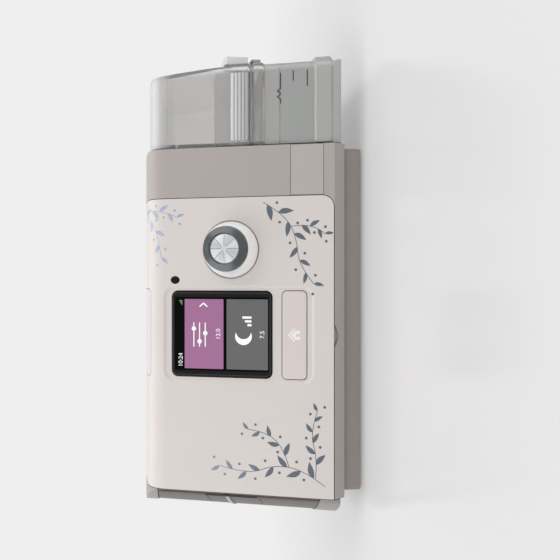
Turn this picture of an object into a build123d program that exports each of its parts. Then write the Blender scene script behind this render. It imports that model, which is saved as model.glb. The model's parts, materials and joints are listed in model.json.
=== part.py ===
from build123d import *
from math import acos, asin, cos, degrees, radians, sin, tan
import os

os.makedirs("parts", exist_ok=True)

# A bedside CPAP machine: a tilted front face, a blower and electronics on the left,
# and a clear humidifier tub that slides into a bay from the right.
# Frame: +X to the machine's right, +Y to its back, +Z up, origin under its middle.

# ------------------------------------------------------------------ driving sizes
# whole machine
overall_width = 255.0       # left side cover to the tub's thumb lip
overall_depth = 150.0       # lower edge of the face to the end of the air outlet
overall_height = 116.0      # feet to the crown
x_left = -overall_width / 2
x_right = overall_width / 2
y_front = -overall_depth / 2
y_back = overall_depth / 2

# side outline of the housing
face_tilt = 19.5            # lean of the face, degrees
skirt_bottom = 10.0
skirt_rise = 6.0
skirt_setback = 4.0
shoulder_radius = 14.0
crown_slope = 8.0           # slope of the top where it leaves the shoulder, degrees
crown_radius = 300.0
rear_wall_y = y_back - 18.0
rear_radius = 12.0
wall = 2.4
seam = 0.35                 # gap between neighbouring covers
face_bottom = skirt_bottom + skirt_rise

# where the covers part, from left to right
fascia_left = x_left + 14.1
fascia_right = x_right - 83.2
fascia_corner = 6.0
band_right = x_right - 56.5
rear_split_y = rear_wall_y - 27.0

# left end
bulge_radius = 48.0
end_rear_radius = 12.0
end_top_radius = 6.0
cap_low = 23.0              # top of the lower end cap
cap_high = overall_height - 8.5     # foot of the upper end cap
cap_bottom = 12.5
side_cover_recess = 0.5
side_cover_wall = 2.2
frame_plate = 2.0

# plinth, feet and screws
plinth_left = x_left + 16.3
plinth_right = x_right - 57.9
plinth_front = y_front + 6.0
plinth_rear = rear_wall_y - 7.0
plinth_lift = 1.0
plinth_corner = 4.0
plinth_wall = 2.5
foot_radius = 7.0
foot_height = 2.0
foot_inset = 14.0
screw_radius = 1.5
screw_head_radius = 3.0
screw_head_height = 2.4
screw_head_sunk = 0.6
screw_inset_x = 26.0
screw_inset_y = 9.0
screw_clearance = 0.1
boss_wall = 1.8

# face: places are given across (x) and up the slope from the face's lower edge,
# as shares of the machine's width and height
screen_x = -0.11333 * overall_width
screen_width = 0.18118 * overall_width
screen_height = 0.48103 * overall_height
screen_low = 0.28621 * overall_height
screen_corner = 3.6
screen_bevel = 0.9
lens_thickness = 2.4
lens_sunk = 0.1
dish_margin = 1.4
dish_low = 0.10345 * overall_height
dish_high = 0.79483 * overall_height
dish_depth = 0.8
dish_slope = 1.4            # width of the dish's sloping edge
dish_corner = 5.0
home_low = 0.12759 * overall_height
home_height = 0.11207 * overall_height
home_corner = 2.4
home_sunk = 0.4
home_thickness = 2.6
home_edge = 0.6
button_gap = 0.35
button_travel = 0.6
sensor_up = 0.74914 * overall_height
sensor_width = 3.9
sensor_height = 4.8
board_depth = 7.0
board_thickness = 1.6
board_corner = 2.0
front_board_left = -0.22745 * overall_width
front_board_right = 0.13333 * overall_width
front_board_low = 0.07759 * overall_height
front_board_high = 0.75862 * overall_height

# dial
dial_x = 0.06353 * overall_width
dial_up = 0.48017 * overall_height
dial_radius = 15.0
dial_height = 13.0
dial_skirt_height = 9.5
dial_ring_radius = 12.0
dial_cap_radius = 7.7
dial_cap_rise = 0.7
dial_cap_sunk = 0.3
dial_draw = 1.0             # how far the foot and the waist of the skirt draw in
dial_ring_draft = 0.4
dial_ring_bevel = 1.2
dial_rim_edge = 0.6
dial_well = 1.6
dial_sunk = 0.5
dial_gap = 0.5
dial_travel = 0.8
shaft_radius = 3.0
fit_clearance = 0.05
encoder_size = 13.0
encoder_plunger_radius = 2.5

# start button on the shoulder
start_front = -0.25 * overall_depth
start_rear = -0.08667 * overall_depth
start_corner = 3.0
start_width = 0.18667 * overall_width
top_board_z = overall_height - 15.0
top_board_overhang = 6.0

# tact switches
switch_size = 6.0
switch_height = 2.1
plunger_radius = 1.5
plunger_height = 1.2
stem_radius = 2.0           # stems of the buttons over their switches
plunger_gap = 0.1

# blank plate on the band
plate_low = 5.6
plate_high = 23.3
plate_recess = 0.6
plate_gap = 0.25

# card door in the left side cover
door_low = 41.0
door_high = 70.0
door_front_angle = 41.0
door_hinge_angle = 10.7
door_thickness = 1.8
door_tab_angle = 20.7       # where the finger tab starts, degrees
door_tab_up = 2.0           # tab above the door's middle
door_tab_height = 2.0
card_slot_margin = 1.0
knuckle_radius = 1.1
knuckle_gap = 0.3
hinge_pin_radius = 0.6
hinge_pin_length = 1.2
card_length = 32.0
card_width = 24.0
card_thickness = 2.1
card_outer_x = x_left + 7.0
card_depth = 15.0           # behind the face
card_travel = 1.0
socket_wall = 1.2
socket_clearance = 0.15

# humidifier bay and tub
tub_setback = 1.6           # tub surface behind the housing surface
tub_end = x_right - 12.0
tub_shoulder = band_right + 0.8
tub_inner_end = x_left + 115.5
tub_inner_front = y_front + 42.0
tub_inner_rear = rear_wall_y - 9.0
tub_inner_bottom = 14.9
tub_inner_top = overall_height - 17.5
tub_corner = 8.0
tub_wall = 1.8
tub_front_radius = 5.0
tub_lean = 6.8              # lean of the lid's end above its grip bar, degrees
tub_rear_radius = 18.0
tub_top_radius = 8.0
tub_part_z = 57.0           # top of the base
seal_height = 1.6
seal_width = 1.4
seal_inset = 0.2
rim_height = 6.0            # thickened rim of the base
bar_height = 10.4           # grip bar of the lid
rim_proud = 1.0
bar_proud = 1.2
rim_edge = 0.8
bead_low = 17.0
bead_high = 25.6
bead_proud = 2.0
lip_front = -47.0
lip_rear = 23.0
lip_top = 71.5
lip_thickness = 2.0
lip_sweep = 110.0           # radius of the lip's outer edge seen from above
lip_edge = 1.5
ledge_setback = 1.0         # ledge behind the lip's outer edge
ledge_height = 5.5
ledge_edge = 1.2
bay_clearance = 0.9
bay_wall = 1.6
bay_mouth_recess = 2.0
bay_flange = 2.0
port_z = overall_height - 32.0
inlet_port_y = tub_inner_front + 14.0
outlet_port_y = tub_inner_rear - 20.0
port_radius = 9.0
tube_length = 14.0          # inward tubes of the lid's ports
port_seal_radius = 11.5
seal_gap = 0.3
heat_plate_thickness = 1.5
heat_plate_front = tub_inner_front + 11.0
heat_plate_rear = tub_inner_rear - 10.0
heat_plate_left = tub_inner_end + 10.0
heat_plate_right = tub_shoulder - 13.8
heater_thickness = 2.0
heater_margin = 3.0
heater_corner = 3.0
heat_plate_corner = 4.0

# blower
blower_x = x_left + 51.5
blower_y = 0.02667 * overall_depth
volute_radius = 25.0
volute_growth = 2.0
volute_outlet = 20.0
volute_wall = 1.6
volute_height = 24.0
eye_radius = 12.0
impeller_radius = 21.5
impeller_hub_radius = 5.0
impeller_running_gap = 1.4
blade_count = 9
blade_thickness = 1.0
motor_radius = 14.0
motor_height = 19.0
motor_shaft_radius = 2.0
motor_edge = 1.5
mount_radius = 4.0
mount_height = 5.0
ear_radius = 5.0
ear_thickness = 2.0
post_radius = 3.5
post_spread_x = 30.0
post_spread_y = 0.17333 * overall_depth
foam_height = 8.0
duct_wall = 1.4
flow_sensor_length = 10.0
flow_sensor_width = 8.0     # electronics block on the sensor tube
flow_sensor_height = 4.0

# main board
main_board_z = 20.0
main_board_left = x_left + 27.5
main_board_right = x_left + 75.5
main_board_front = y_front + 29.0
main_board_rear = rear_wall_y - 25.0
board_post_radius = 3.0
board_post_inset = 5.0

# rear: filter, power inlet, air outlet
filter_left = x_left + 21.5
filter_right = x_left + 69.5
filter_low = 34.0
filter_high = overall_height - 32.0
filter_box_depth = 0.10667 * overall_depth
filter_box_wall = 1.6
filter_thickness = 8.0
filter_corner = 2.0
cover_grip_radius = 4.0
cover_grip_rise = 1.0
slot_count = 9
slot_width = 2.2
slot_length = 32.0
inlet_x = x_left + 91.5
inlet_z = 26.0
inlet_width = 18.0
inlet_height = 14.0
inlet_depth = 16.0
inlet_corner = 1.0
inlet_foot_inset = 3.0
inlet_foot_length = 4.0
socket_width = 11.0
socket_height = 7.6
socket_depth = 9.5
socket_corner = 1.5
contact_count = 3
contact_pitch = 3.2
contact_width = 0.9
contact_height = 2.3
contact_reach = 2.0         # contacts in the socket and behind the block
clip_width = 14.0
clip_height = 13.0
clip_thickness = 1.6
clip_gap = 0.3
clip_rise = 4.0             # pivot above the inlet
outlet_x = x_left + 98.5
outlet_radius = 11.0
outlet_bore_radius = 9.2
outlet_plate_margin = 3.0
outlet_plate_thickness = 2.0
outlet_plate_corner = 5.0
outlet_plate_edge = 0.6
outlet_plate_gap = 0.2
outlet_gap = 0.5
outlet_slot_corner = 1.0

# ------------------------------------------------------------------ worked-out places
reach = 300.0               # longer than the machine, for cutting blocks
tilt = radians(face_tilt)
crown = radians(crown_slope)
end_lean = radians(tub_lean)
shoulder_rise = shoulder_radius * (cos(crown) - sin(tilt))
crown_rise = crown_radius * (1 - cos(crown))
face_length = (overall_height - face_bottom - shoulder_rise - crown_rise) / cos(tilt)
shoulder_run = shoulder_radius * (cos(tilt) - sin(crown))
crown_y = y_front + face_length * sin(tilt) + shoulder_run + crown_radius * sin(crown)
rear_turn = degrees(asin((rear_wall_y - crown_y - rear_radius) / (crown_radius - rear_radius)))

# the face seen square on: x across, y up the slope, normal out of the machine
face = Plane(origin=(0, y_front, face_bottom), x_dir=(1, 0, 0), z_dir=(0, -cos(tilt), sin(tilt)))
# a slice across the face: x across, y into the machine, normal up the slope
slice_plane = Plane(origin=(0, y_front, face_bottom), x_dir=(1, 0, 0), z_dir=(0, sin(tilt), cos(tilt)))

floor_top = skirt_bottom + wall
inner_rear_y = rear_wall_y - wall
frame_x = fascia_left - seam
bulge_angle = acos(1 - (frame_x - x_left) / bulge_radius)
bulge_centre = (x_left + bulge_radius, bulge_radius * sin(bulge_angle))
lid_bottom = tub_part_z + seal_height


# ------------------------------------------------------------------ shared forms
def body_section(inset=0.0):
    """Side outline of the housing in (y, z), moved inwards by inset."""
    with BuildSketch() as outline:
        with BuildLine():
            skirt = Line((y_front + skirt_setback, skirt_bottom), (y_front, face_bottom))
            slope = PolarLine(skirt @ 1, face_length, 90 - face_tilt)
            shoulder = JernArc(slope @ 1, slope % 1, shoulder_radius, -(90 - face_tilt - crown_slope))
            top = JernArc(shoulder @ 1, shoulder % 1, crown_radius, -(crown_slope + rear_turn))
            corner = JernArc(top @ 1, top % 1, rear_radius, -(90 - rear_turn))
            back = Line(corner @ 1, ((corner @ 1).X, skirt_bottom))
            Line(back @ 1, skirt @ 0)
        make_face()
        if inset:
            offset(amount=-inset, kind=Kind.INTERSECTION)
    return outline.sketch_local


def housing_skin(x_from, x_to):
    """The housing's wall between two places across its width, open at both ends."""
    outer = body_section()
    inner = body_section(wall)
    with BuildPart() as skin:
        with BuildSketch(Plane.YZ.offset(x_from)):
            add(outer)
            add(inner, mode=Mode.SUBTRACT)
        extrude(amount=x_to - x_from)
    return skin.part


def block(x_span, y_span, z_span):
    """Square block from its spans along X, Y and Z."""
    with BuildPart() as body:
        with BuildSketch(Plane.XY.offset(z_span[0])):
            with Locations(((x_span[0] + x_span[1]) / 2, (y_span[0] + y_span[1]) / 2)):
                Rectangle(x_span[1] - x_span[0], y_span[1] - y_span[0])
        extrude(amount=z_span[1] - z_span[0])
    return body.part


def cover_zone(gap, y_from, y_to):
    """What a front or rear cover may fill: left of the band and above the skirt."""
    with BuildPart() as zone:
        with BuildSketch(Plane.XZ.offset(-y_from)) as opening:
            with Locations((fascia_right - gap - reach / 2, face_bottom + gap + reach / 2)):
                Rectangle(reach, reach)
            corner = opening.vertices().group_by(Axis.X)[-1].sort_by(Axis.Y)[0]
            fillet(corner, radius=fascia_corner + seam - gap)
        extrude(amount=-(y_to - y_from))
    return zone.part


def rounded_limit(plane, x_end, edge, radius, inset, side, away):
    """Endless prism that ends at x_end with one rounded corner.

    side is -1 for a left end and 1 for a right end; away is the direction along the plane's
    second axis in which the prism goes on past the corner at edge.
    """
    with BuildPart() as prism:
        with BuildSketch(plane.offset(-reach / 2)):
            with Locations((x_end - side * radius, edge + away * radius)):
                Circle(radius - inset)
            with Locations((x_end - side * (inset + reach / 2), edge + away * (radius + reach / 2))):
                Rectangle(reach, reach)
            with Locations((x_end - side * (radius + reach / 2), edge)):
                Rectangle(reach, 2 * reach)
        extrude(amount=reach)
    return prism.part


def left_form(inset):
    """Solid of the bulged left end, inset from its surface."""
    front = rounded_limit(
        slice_plane, x_left, bulge_centre[1] - bulge_radius, bulge_radius, inset, -1, 1
    )
    rear = rounded_limit(Plane.XY, x_left, rear_wall_y, end_rear_radius, inset, -1, -1)
    top = rounded_limit(Plane.XZ, x_left, overall_height, end_top_radius, inset, -1, -1)
    outline = body_section(inset)
    with BuildPart() as form:
        with BuildSketch(Plane.YZ.offset(x_left + inset)):
            add(outline)
        extrude(amount=frame_x - x_left - inset)
        add(front, mode=Mode.INTERSECT)
        add(rear, mode=Mode.INTERSECT)
        add(top, mode=Mode.INTERSECT)
    return form.part


def tub_head(inset):
    """Solid of the tub's outer part, which carries on the housing's side outline."""
    front = rounded_limit(slice_plane, tub_end, tub_setback, tub_front_radius, inset, 1, 1)
    rear = rounded_limit(Plane.XY, tub_end, rear_wall_y - tub_setback, tub_rear_radius, inset, 1, -1)
    top = rounded_limit(Plane.XZ, tub_end, overall_height - tub_setback, tub_top_radius, inset, 1, -1)
    leaning = Plane(
        origin=(tub_end, 0, lid_bottom + bar_height), x_dir=(0, 1, 0), z_dir=(cos(end_lean), 0, sin(end_lean))
    )
    outline = body_section(tub_setback + inset)
    near = tub_shoulder + max(inset, 0.0)
    with BuildPart() as head:
        with BuildSketch(Plane.YZ.offset(near)):
            add(outline)
        extrude(amount=tub_end - inset - near)
        add(front, mode=Mode.INTERSECT)
        add(rear, mode=Mode.INTERSECT)
        add(top, mode=Mode.INTERSECT)
        with BuildSketch(leaning.offset(-inset)):
            Rectangle(reach, reach)
        extrude(amount=reach, mode=Mode.SUBTRACT)
    return head.part


def tub_form(inset):
    """Solid of the whole tub: its head and the narrower part that enters the bay."""
    head = tub_head(inset)
    run_in = 2 * tub_wall
    with BuildPart() as form:
        add(head)
        with BuildSketch(Plane.YZ.offset(tub_inner_end + inset)):
            with Locations(tub_centre):
                RectangleRounded(
                    tub_depth - 2 * inset, tub_height - 2 * inset, tub_corner - inset
                )
        extrude(amount=tub_shoulder - tub_inner_end - inset + run_in)
    return form.part


tub_depth = tub_inner_rear - tub_inner_front
tub_height = tub_inner_top - tub_inner_bottom
tub_centre = ((tub_inner_front + tub_inner_rear) / 2, (tub_inner_bottom + tub_inner_top) / 2)
tub_outside = tub_form(0.0)
tub_inside = tub_form(tub_wall)


def slab(z_low, z_high):
    """Endless level slab between two heights."""
    return block((-reach, reach), (-reach, reach), (z_low, z_high))


# ------------------------------------------------------------------ plinth
plinth_x = (plinth_left + plinth_right) / 2
plinth_y = (plinth_front + plinth_rear) / 2
plinth_width = plinth_right - plinth_left
plinth_length = plinth_rear - plinth_front
foot_spots = [
    (plinth_x + side * (plinth_width / 2 - foot_inset), plinth_y + end * (plinth_length / 2 - foot_inset))
    for side in (-1, 1)
    for end in (-1, 1)
]
screw_spots = [
    (
        plinth_x + side * (plinth_width / 2 - screw_inset_x),
        plinth_y + end * (plinth_length / 2 - screw_inset_y),
    )
    for side in (-1, 1)
    for end in (-1, 1)
]
plinth_floor = plinth_lift + plinth_wall
head_seat = plinth_lift + screw_head_sunk + screw_head_height

with BuildPart() as base_chassis:
    with BuildSketch(Plane.XY.offset(plinth_lift)):
        with Locations((plinth_x, plinth_y)):
            RectangleRounded(plinth_width, plinth_length, plinth_corner)
    extrude(amount=skirt_bottom - plinth_lift)
    with BuildSketch(Plane.XY.offset(plinth_floor)):
        with Locations((plinth_x, plinth_y)):
            RectangleRounded(
                plinth_width - 2 * plinth_wall, plinth_length - 2 * plinth_wall, plinth_corner - plinth_wall
            )
    extrude(amount=skirt_bottom - plinth_floor, mode=Mode.SUBTRACT)
    with BuildSketch(Plane.XY.offset(plinth_lift)):
        with Locations(*screw_spots):
            Circle(screw_head_radius + screw_clearance + boss_wall)
    extrude(amount=skirt_bottom - plinth_lift)
    with Locations(*[Plane(origin=(x, y, plinth_lift), z_dir=(0, 0, -1)) for x, y in screw_spots]):
        CounterBoreHole(
            radius=screw_radius + screw_clearance,
            counter_bore_radius=screw_head_radius + screw_clearance,
            counter_bore_depth=head_seat - plinth_lift,
            depth=skirt_bottom - plinth_lift,
        )
    with Locations(*[Plane(origin=(x, y, plinth_lift), z_dir=(0, 0, -1)) for x, y in foot_spots]):
        Hole(radius=foot_radius + seam / 2, depth=foot_height - plinth_lift)
base_chassis.part.label = "base_chassis"
export_step(base_chassis.part, "parts/base_chassis.step")

with BuildPart() as rubber_feet:
    with BuildSketch():
        with Locations(*foot_spots):
            Circle(foot_radius)
    extrude(amount=foot_height)
    chamfer(rubber_feet.edges().group_by(Axis.Z)[0], length=0.5)
rubber_feet.part.label = "rubber_feet"
export_step(rubber_feet.part, "parts/rubber_feet.step")

with BuildPart() as chassis_screws:
    with BuildSketch(Plane.XY.offset(head_seat - screw_head_height)):
        with Locations(*screw_spots):
            Circle(screw_head_radius)
    extrude(amount=screw_head_height)
    with BuildSketch(Plane.XY.offset(head_seat)):
        with Locations(*screw_spots):
            Circle(screw_radius)
    extrude(amount=floor_top - head_seat)
chassis_screws.part.label = "chassis_screws"
export_step(chassis_screws.part, "parts/chassis_screws.step")

# ------------------------------------------------------------------ main housing
main_skin = housing_skin(fascia_left, band_right)
front_zone = cover_zone(0.0, -reach, rear_split_y)
rear_zone = cover_zone(0.0, rear_split_y - seam, reach)
blower_posts = [
    (blower_x + side * post_spread_x, blower_y + end * post_spread_y) for side in (-1, 1) for end in (-1, 1)
]
volute_low = port_z - volute_height / 2
post_top = volute_low - mount_height
board_x = (main_board_left + main_board_right) / 2
board_y = (main_board_front + main_board_rear) / 2
board_posts = [
    (x, y)
    for x in (main_board_left + board_post_inset, main_board_right - board_post_inset)
    for y in (main_board_front + board_post_inset, main_board_rear - board_post_inset)
]
heater_spot = ((heat_plate_left + heat_plate_right) / 2, (heat_plate_front + heat_plate_rear) / 2)
heater_width = heat_plate_right - heat_plate_left - 2 * heater_margin
heater_length = heat_plate_rear - heat_plate_front - 2 * heater_margin
band_x = (fascia_right + band_right) / 2
plate_height = plate_high - plate_low
notch_radius = 9.0
notch_drop = 2.0

with BuildPart() as main_housing:
    add(main_skin)
    add(front_zone, mode=Mode.SUBTRACT)
    add(rear_zone, mode=Mode.SUBTRACT)
    with BuildSketch(Plane.XY.offset(floor_top)):
        with Locations(*blower_posts):
            Circle(post_radius)
    extrude(amount=post_top - floor_top)
    with BuildSketch(Plane.XY.offset(floor_top)):
        with Locations(*board_posts):
            Circle(board_post_radius)
    extrude(amount=main_board_z - floor_top)
    with BuildSketch(Plane.XY.offset(skirt_bottom)):
        with Locations(*screw_spots):
            Circle(screw_radius + fit_clearance)
    extrude(amount=wall, mode=Mode.SUBTRACT)
    # shallow bed for the blank plate
    with BuildSketch(face):
        with Locations((band_x, (plate_low + plate_high) / 2)):
            Rectangle(band_right - fascia_right + wall, plate_height)
    extrude(amount=-plate_recess, mode=Mode.SUBTRACT)
    # finger notch under the face
    with BuildSketch(Plane.XZ.offset(-y_front - wall)):
        with Locations((screen_x, face_bottom + notch_radius - notch_drop)):
            Circle(notch_radius)
    extrude(amount=2 * wall, mode=Mode.SUBTRACT)
main_housing.part.label = "main_housing"
export_step(main_housing.part, "parts/main_housing.step")

with BuildPart() as badge_plate:
    with BuildSketch(face.offset(-plate_recess)):
        with Locations((band_x, (plate_low + plate_high) / 2)):
            Rectangle(band_right - fascia_right - 2 * seam, plate_height - 2 * plate_gap)
    extrude(amount=plate_recess)
badge_plate.part.label = "badge_plate"
export_step(badge_plate.part, "parts/badge_plate.step")

# ------------------------------------------------------------------ front cover
fascia_skin = housing_skin(fascia_left, fascia_right - seam)
fascia_zone = cover_zone(seam, -reach, rear_split_y - seam)
button_x = screen_x
dish_spot = (screen_x, (dish_low + dish_high) / 2)
dish_width = screen_width + 2 * dish_margin
dish_length = dish_high - dish_low
start_middle = (start_front + start_rear) / 2
start_length = start_rear - start_front
top_board_left = button_x - start_width / 2 - top_board_overhang
top_board_right = button_x + start_width / 2 + top_board_overhang
top_post_spots = [
    (x, start_middle)
    for x in (top_board_left + top_board_overhang / 2, top_board_right - top_board_overhang / 2)
]
top_board_top = top_board_z + board_thickness
top_post_radius = 2.2
crown_inner = overall_height - wall

with BuildPart() as front_fascia:
    add(fascia_skin)
    add(fascia_zone, mode=Mode.INTERSECT)
    # shallow dish round the screen and the home button
    with BuildSketch(face):
        with Locations(dish_spot):
            RectangleRounded(
                dish_width + 2 * dish_slope, dish_length + 2 * dish_slope, dish_corner + dish_slope
            )
    with BuildSketch(face.offset(-dish_depth)):
        with Locations(dish_spot):
            RectangleRounded(dish_width, dish_length, dish_corner)
    loft(mode=Mode.SUBTRACT)
    # windows for the lens, the home button and the light sensor
    with BuildSketch(face):
        with Locations((screen_x, screen_low + screen_height / 2)):
            RectangleRounded(screen_width + seam, screen_height + seam, screen_corner)
        with Locations((button_x, home_low + home_height / 2)):
            RectangleRounded(
                screen_width + 2 * button_gap, home_height + 2 * button_gap, home_corner + button_gap
            )
        with Locations((0, sensor_up)):
            Ellipse((sensor_width + seam) / 2, (sensor_height + seam) / 2)
    extrude(amount=-2 * wall, mode=Mode.SUBTRACT)
    # well and hole for the dial
    with Locations(face.shift_origin(face.from_local_coords((dial_x, dial_up, 0)))):
        CounterBoreHole(
            radius=shaft_radius + dial_gap,
            counter_bore_radius=dial_radius + dial_gap,
            counter_bore_depth=dial_well,
            depth=2 * wall,
        )
    # opening for the start button on the shoulder, with a post each side for its board
    with BuildSketch(Plane.XY.offset(overall_height)):
        with Locations((button_x, start_middle)):
            RectangleRounded(start_width + 2 * button_gap, start_length + 2 * button_gap, start_corner)
    extrude(amount=-shoulder_radius, mode=Mode.SUBTRACT)
    with BuildSketch(Plane.XY.offset(top_board_top)):
        with Locations(*top_post_spots):
            Circle(top_post_radius)
    extrude(amount=crown_inner - top_board_top)
front_fascia.part.label = "front_fascia"
export_step(front_fascia.part, "parts/front_fascia.step")

# ------------------------------------------------------------------ rear housing
rear_skin = housing_skin(fascia_left, fascia_right - seam)
rear_cover_zone = cover_zone(seam, rear_split_y, reach)
filter_x = (filter_left + filter_right) / 2
filter_width = filter_right - filter_left
filter_z = (filter_low + filter_high) / 2
filter_height = filter_high - filter_low
cover_knuckle = wall / 2
outlet_plate_z = 2 * (outlet_radius + outlet_plate_margin)
outlet_slot_left = outlet_x - outlet_radius - outlet_gap
outlet_slot_right = tub_inner_end - bay_clearance - bay_wall - seal_gap + outlet_gap
outlet_slot_x = (outlet_slot_left + outlet_slot_right) / 2
outlet_slot_width = outlet_slot_right - outlet_slot_left
clip_pivot_z = inlet_z + inlet_height / 2 + clip_rise
clip_pivot_y = rear_wall_y + clip_gap + clip_thickness / 2
clip_ear = 2.0

with BuildPart() as rear_housing:
    add(rear_skin)
    add(rear_cover_zone, mode=Mode.INTERSECT)
    with BuildSketch(Plane.XZ.offset(-inner_rear_y + wall)) as rear_openings:
        with Locations((filter_x, filter_z)):
            Rectangle(filter_width + 2 * seam, filter_height + 2 * seam)
        with Locations((outlet_slot_x, port_z)):
            RectangleRounded(outlet_slot_width, 2 * (outlet_radius + outlet_gap), outlet_slot_corner)
        with Locations((inlet_x, inlet_z)):
            RectangleRounded(inlet_width, inlet_height, inlet_corner)
    extrude(amount=-3 * wall, mode=Mode.SUBTRACT)
    # blind holes for the filter cover's pins
    with BuildSketch(Plane.YZ.offset(filter_left - seam - hinge_pin_length - seam)):
        with Locations((rear_wall_y - cover_knuckle, filter_low + cover_knuckle)):
            Circle(hinge_pin_radius + fit_clearance)
    extrude(amount=filter_width + 2 * (hinge_pin_length + 2 * seam), mode=Mode.SUBTRACT)
    # two ears that carry the retention clip
    with BuildSketch(Plane.YZ.offset(inlet_x - clip_width / 2 - clip_gap - clip_ear)) as ear:
        with Locations((clip_pivot_y, clip_pivot_z)):
            Circle(clip_thickness)
        with Locations(((clip_pivot_y + rear_wall_y) / 2 - wall / 4, clip_pivot_z)):
            Rectangle(clip_pivot_y - rear_wall_y + wall / 2, 2 * clip_thickness)
        with Locations((clip_pivot_y, clip_pivot_z)):
            Circle(hinge_pin_radius + fit_clearance, mode=Mode.SUBTRACT)
    extrude(amount=clip_ear)
    with BuildSketch(Plane.YZ.offset(inlet_x + clip_width / 2 + clip_gap)):
        add(ear.sketch_local)
    extrude(amount=clip_ear)
rear_housing.part.label = "rear_housing"
export_step(rear_housing.part, "parts/rear_housing.step")

# ------------------------------------------------------------------ left end
left_outer = left_form(0.0)
left_inner = left_form(side_cover_wall)
cover_outer = left_form(side_cover_recess)
cover_inner = left_form(side_cover_recess + side_cover_wall)
cover_slab = slab(cap_low + seam, cap_high - seam)
frame_gap_slab = slab(cap_low, cap_high)
below_caps = slab(-reach, cap_bottom)
cap_floor = slab(cap_bottom, cap_bottom + side_cover_wall)
plate_outline = body_section(wall / 2)
behind_cover = left_form(side_cover_recess + side_cover_wall + fit_clearance)

# hollow of the end caps, closed by a floor under the lower one
with BuildPart() as cap_hollow:
    add(left_inner)
    add(below_caps, mode=Mode.SUBTRACT)
    add(cap_floor, mode=Mode.SUBTRACT)

# the dark side cover beds on the frame between its two end caps
with BuildPart() as cover_bed:
    add(left_outer)
    add(behind_cover, mode=Mode.SUBTRACT)
    add(frame_gap_slab, mode=Mode.INTERSECT)

with BuildPart() as left_end_frame:
    add(left_outer)
    add(cap_hollow.part, mode=Mode.SUBTRACT)
    with BuildSketch(Plane.YZ.offset(frame_x - frame_plate)):
        add(plate_outline)
    extrude(amount=frame_plate)
    add(cover_bed.part, mode=Mode.SUBTRACT)
    with BuildSketch(slice_plane.offset(door_low - card_slot_margin)):
        with Locations((frame_x, card_depth + card_thickness / 2)):
            Rectangle(4 * frame_plate, card_thickness + 2 * (socket_wall + seam))
    extrude(amount=door_high - door_low + 2 * card_slot_margin, mode=Mode.SUBTRACT)
    add(below_caps, mode=Mode.SUBTRACT)
left_end_frame.part.label = "left_end_frame"
export_step(left_end_frame.part, "parts/left_end_frame.step")

# the card door is a slice of the bulge, hinged on a knuckle along its rear edge
cover_radius = bulge_radius - side_cover_recess
knuckle_centre_radius = cover_radius - knuckle_radius
door_turn = radians(door_hinge_angle)
knuckle_spot = (
    bulge_centre[0] - knuckle_centre_radius * cos(door_turn),
    bulge_centre[1] - knuckle_centre_radius * sin(door_turn),
)
door_length = door_high - door_low


def bulge_sector(outer_radius, inner_radius, from_angle, to_angle):
    """Ring sector about the bulge's centre; angles are measured from straight left towards the front."""
    with BuildSketch() as sector:
        with BuildLine():
            outer = CenterArc(bulge_centre, outer_radius, 180 + from_angle, to_angle - from_angle)
            inner = CenterArc(bulge_centre, inner_radius, 180 + from_angle, to_angle - from_angle)
            Line(outer @ 0, inner @ 0)
            Line(outer @ 1, inner @ 1)
        make_face()
    return sector.sketch_local


door_gap_angle = degrees(seam / cover_radius)
door_window = bulge_sector(
    cover_radius + side_cover_wall,
    cover_radius - 2 * side_cover_wall,
    door_hinge_angle,
    door_front_angle + door_gap_angle,
)
door_leaf = bulge_sector(cover_radius, cover_radius - door_thickness, door_hinge_angle, door_front_angle)
door_tab = bulge_sector(cover_radius + side_cover_recess, cover_radius, door_tab_angle, door_front_angle)

with BuildPart() as left_side_cover:
    add(cover_outer)
    add(cover_inner, mode=Mode.SUBTRACT)
    add(cover_slab, mode=Mode.INTERSECT)
    with BuildSketch(slice_plane.offset(door_low - seam)):
        add(door_window)
        with Locations(knuckle_spot):
            Circle(knuckle_radius + knuckle_gap)
    extrude(amount=door_length + 2 * seam, mode=Mode.SUBTRACT)
    with BuildSketch(slice_plane.offset(door_low - 2 * seam - hinge_pin_length)):
        with Locations(knuckle_spot):
            Circle(hinge_pin_radius + fit_clearance)
    extrude(amount=door_length + 4 * seam + 2 * hinge_pin_length, mode=Mode.SUBTRACT)
left_side_cover.part.label = "left_side_cover"
export_step(left_side_cover.part, "parts/left_side_cover.step")

with BuildPart() as sd_door:
    with BuildSketch(slice_plane.offset(door_low)):
        add(door_leaf)
        with Locations(knuckle_spot):
            Circle(knuckle_radius)
    extrude(amount=door_length)
    with BuildSketch(slice_plane.offset(door_low - seam - hinge_pin_length)):
        with Locations(knuckle_spot):
            Circle(hinge_pin_radius)
    extrude(amount=door_length + 2 * (seam + hinge_pin_length))
    with BuildSketch(slice_plane.offset((door_low + door_high) / 2 + door_tab_up)):
        add(door_tab)
    extrude(amount=door_tab_height)
sd_door.part.label = "sd_door"
export_step(sd_door.part, "parts/sd_door.step")

door_middle = (door_low + door_high) / 2
socket_front_x = card_outer_x + 5.0
socket_back_x = card_outer_x + card_length + card_travel + socket_wall + socket_clearance
with BuildPart() as sd_socket:
    with BuildSketch(slice_plane.offset(door_middle - card_width / 2 - socket_wall - socket_clearance)):
        with Locations(((socket_front_x + socket_back_x) / 2, card_depth + card_thickness / 2)):
            Rectangle(
                socket_back_x - socket_front_x, card_thickness + 2 * (socket_wall + socket_clearance)
            )
    extrude(amount=card_width + 2 * (socket_wall + socket_clearance))
    with BuildSketch(slice_plane.offset(door_middle - card_width / 2 - socket_clearance)):
        with Locations(((socket_front_x + socket_back_x) / 2 - socket_wall, card_depth + card_thickness / 2)):
            Rectangle(socket_back_x - socket_front_x, card_thickness + 2 * socket_clearance)
    extrude(amount=card_width + 2 * socket_clearance, mode=Mode.SUBTRACT)
sd_socket.part.label = "sd_socket"
export_step(sd_socket.part, "parts/sd_socket.step")

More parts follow.
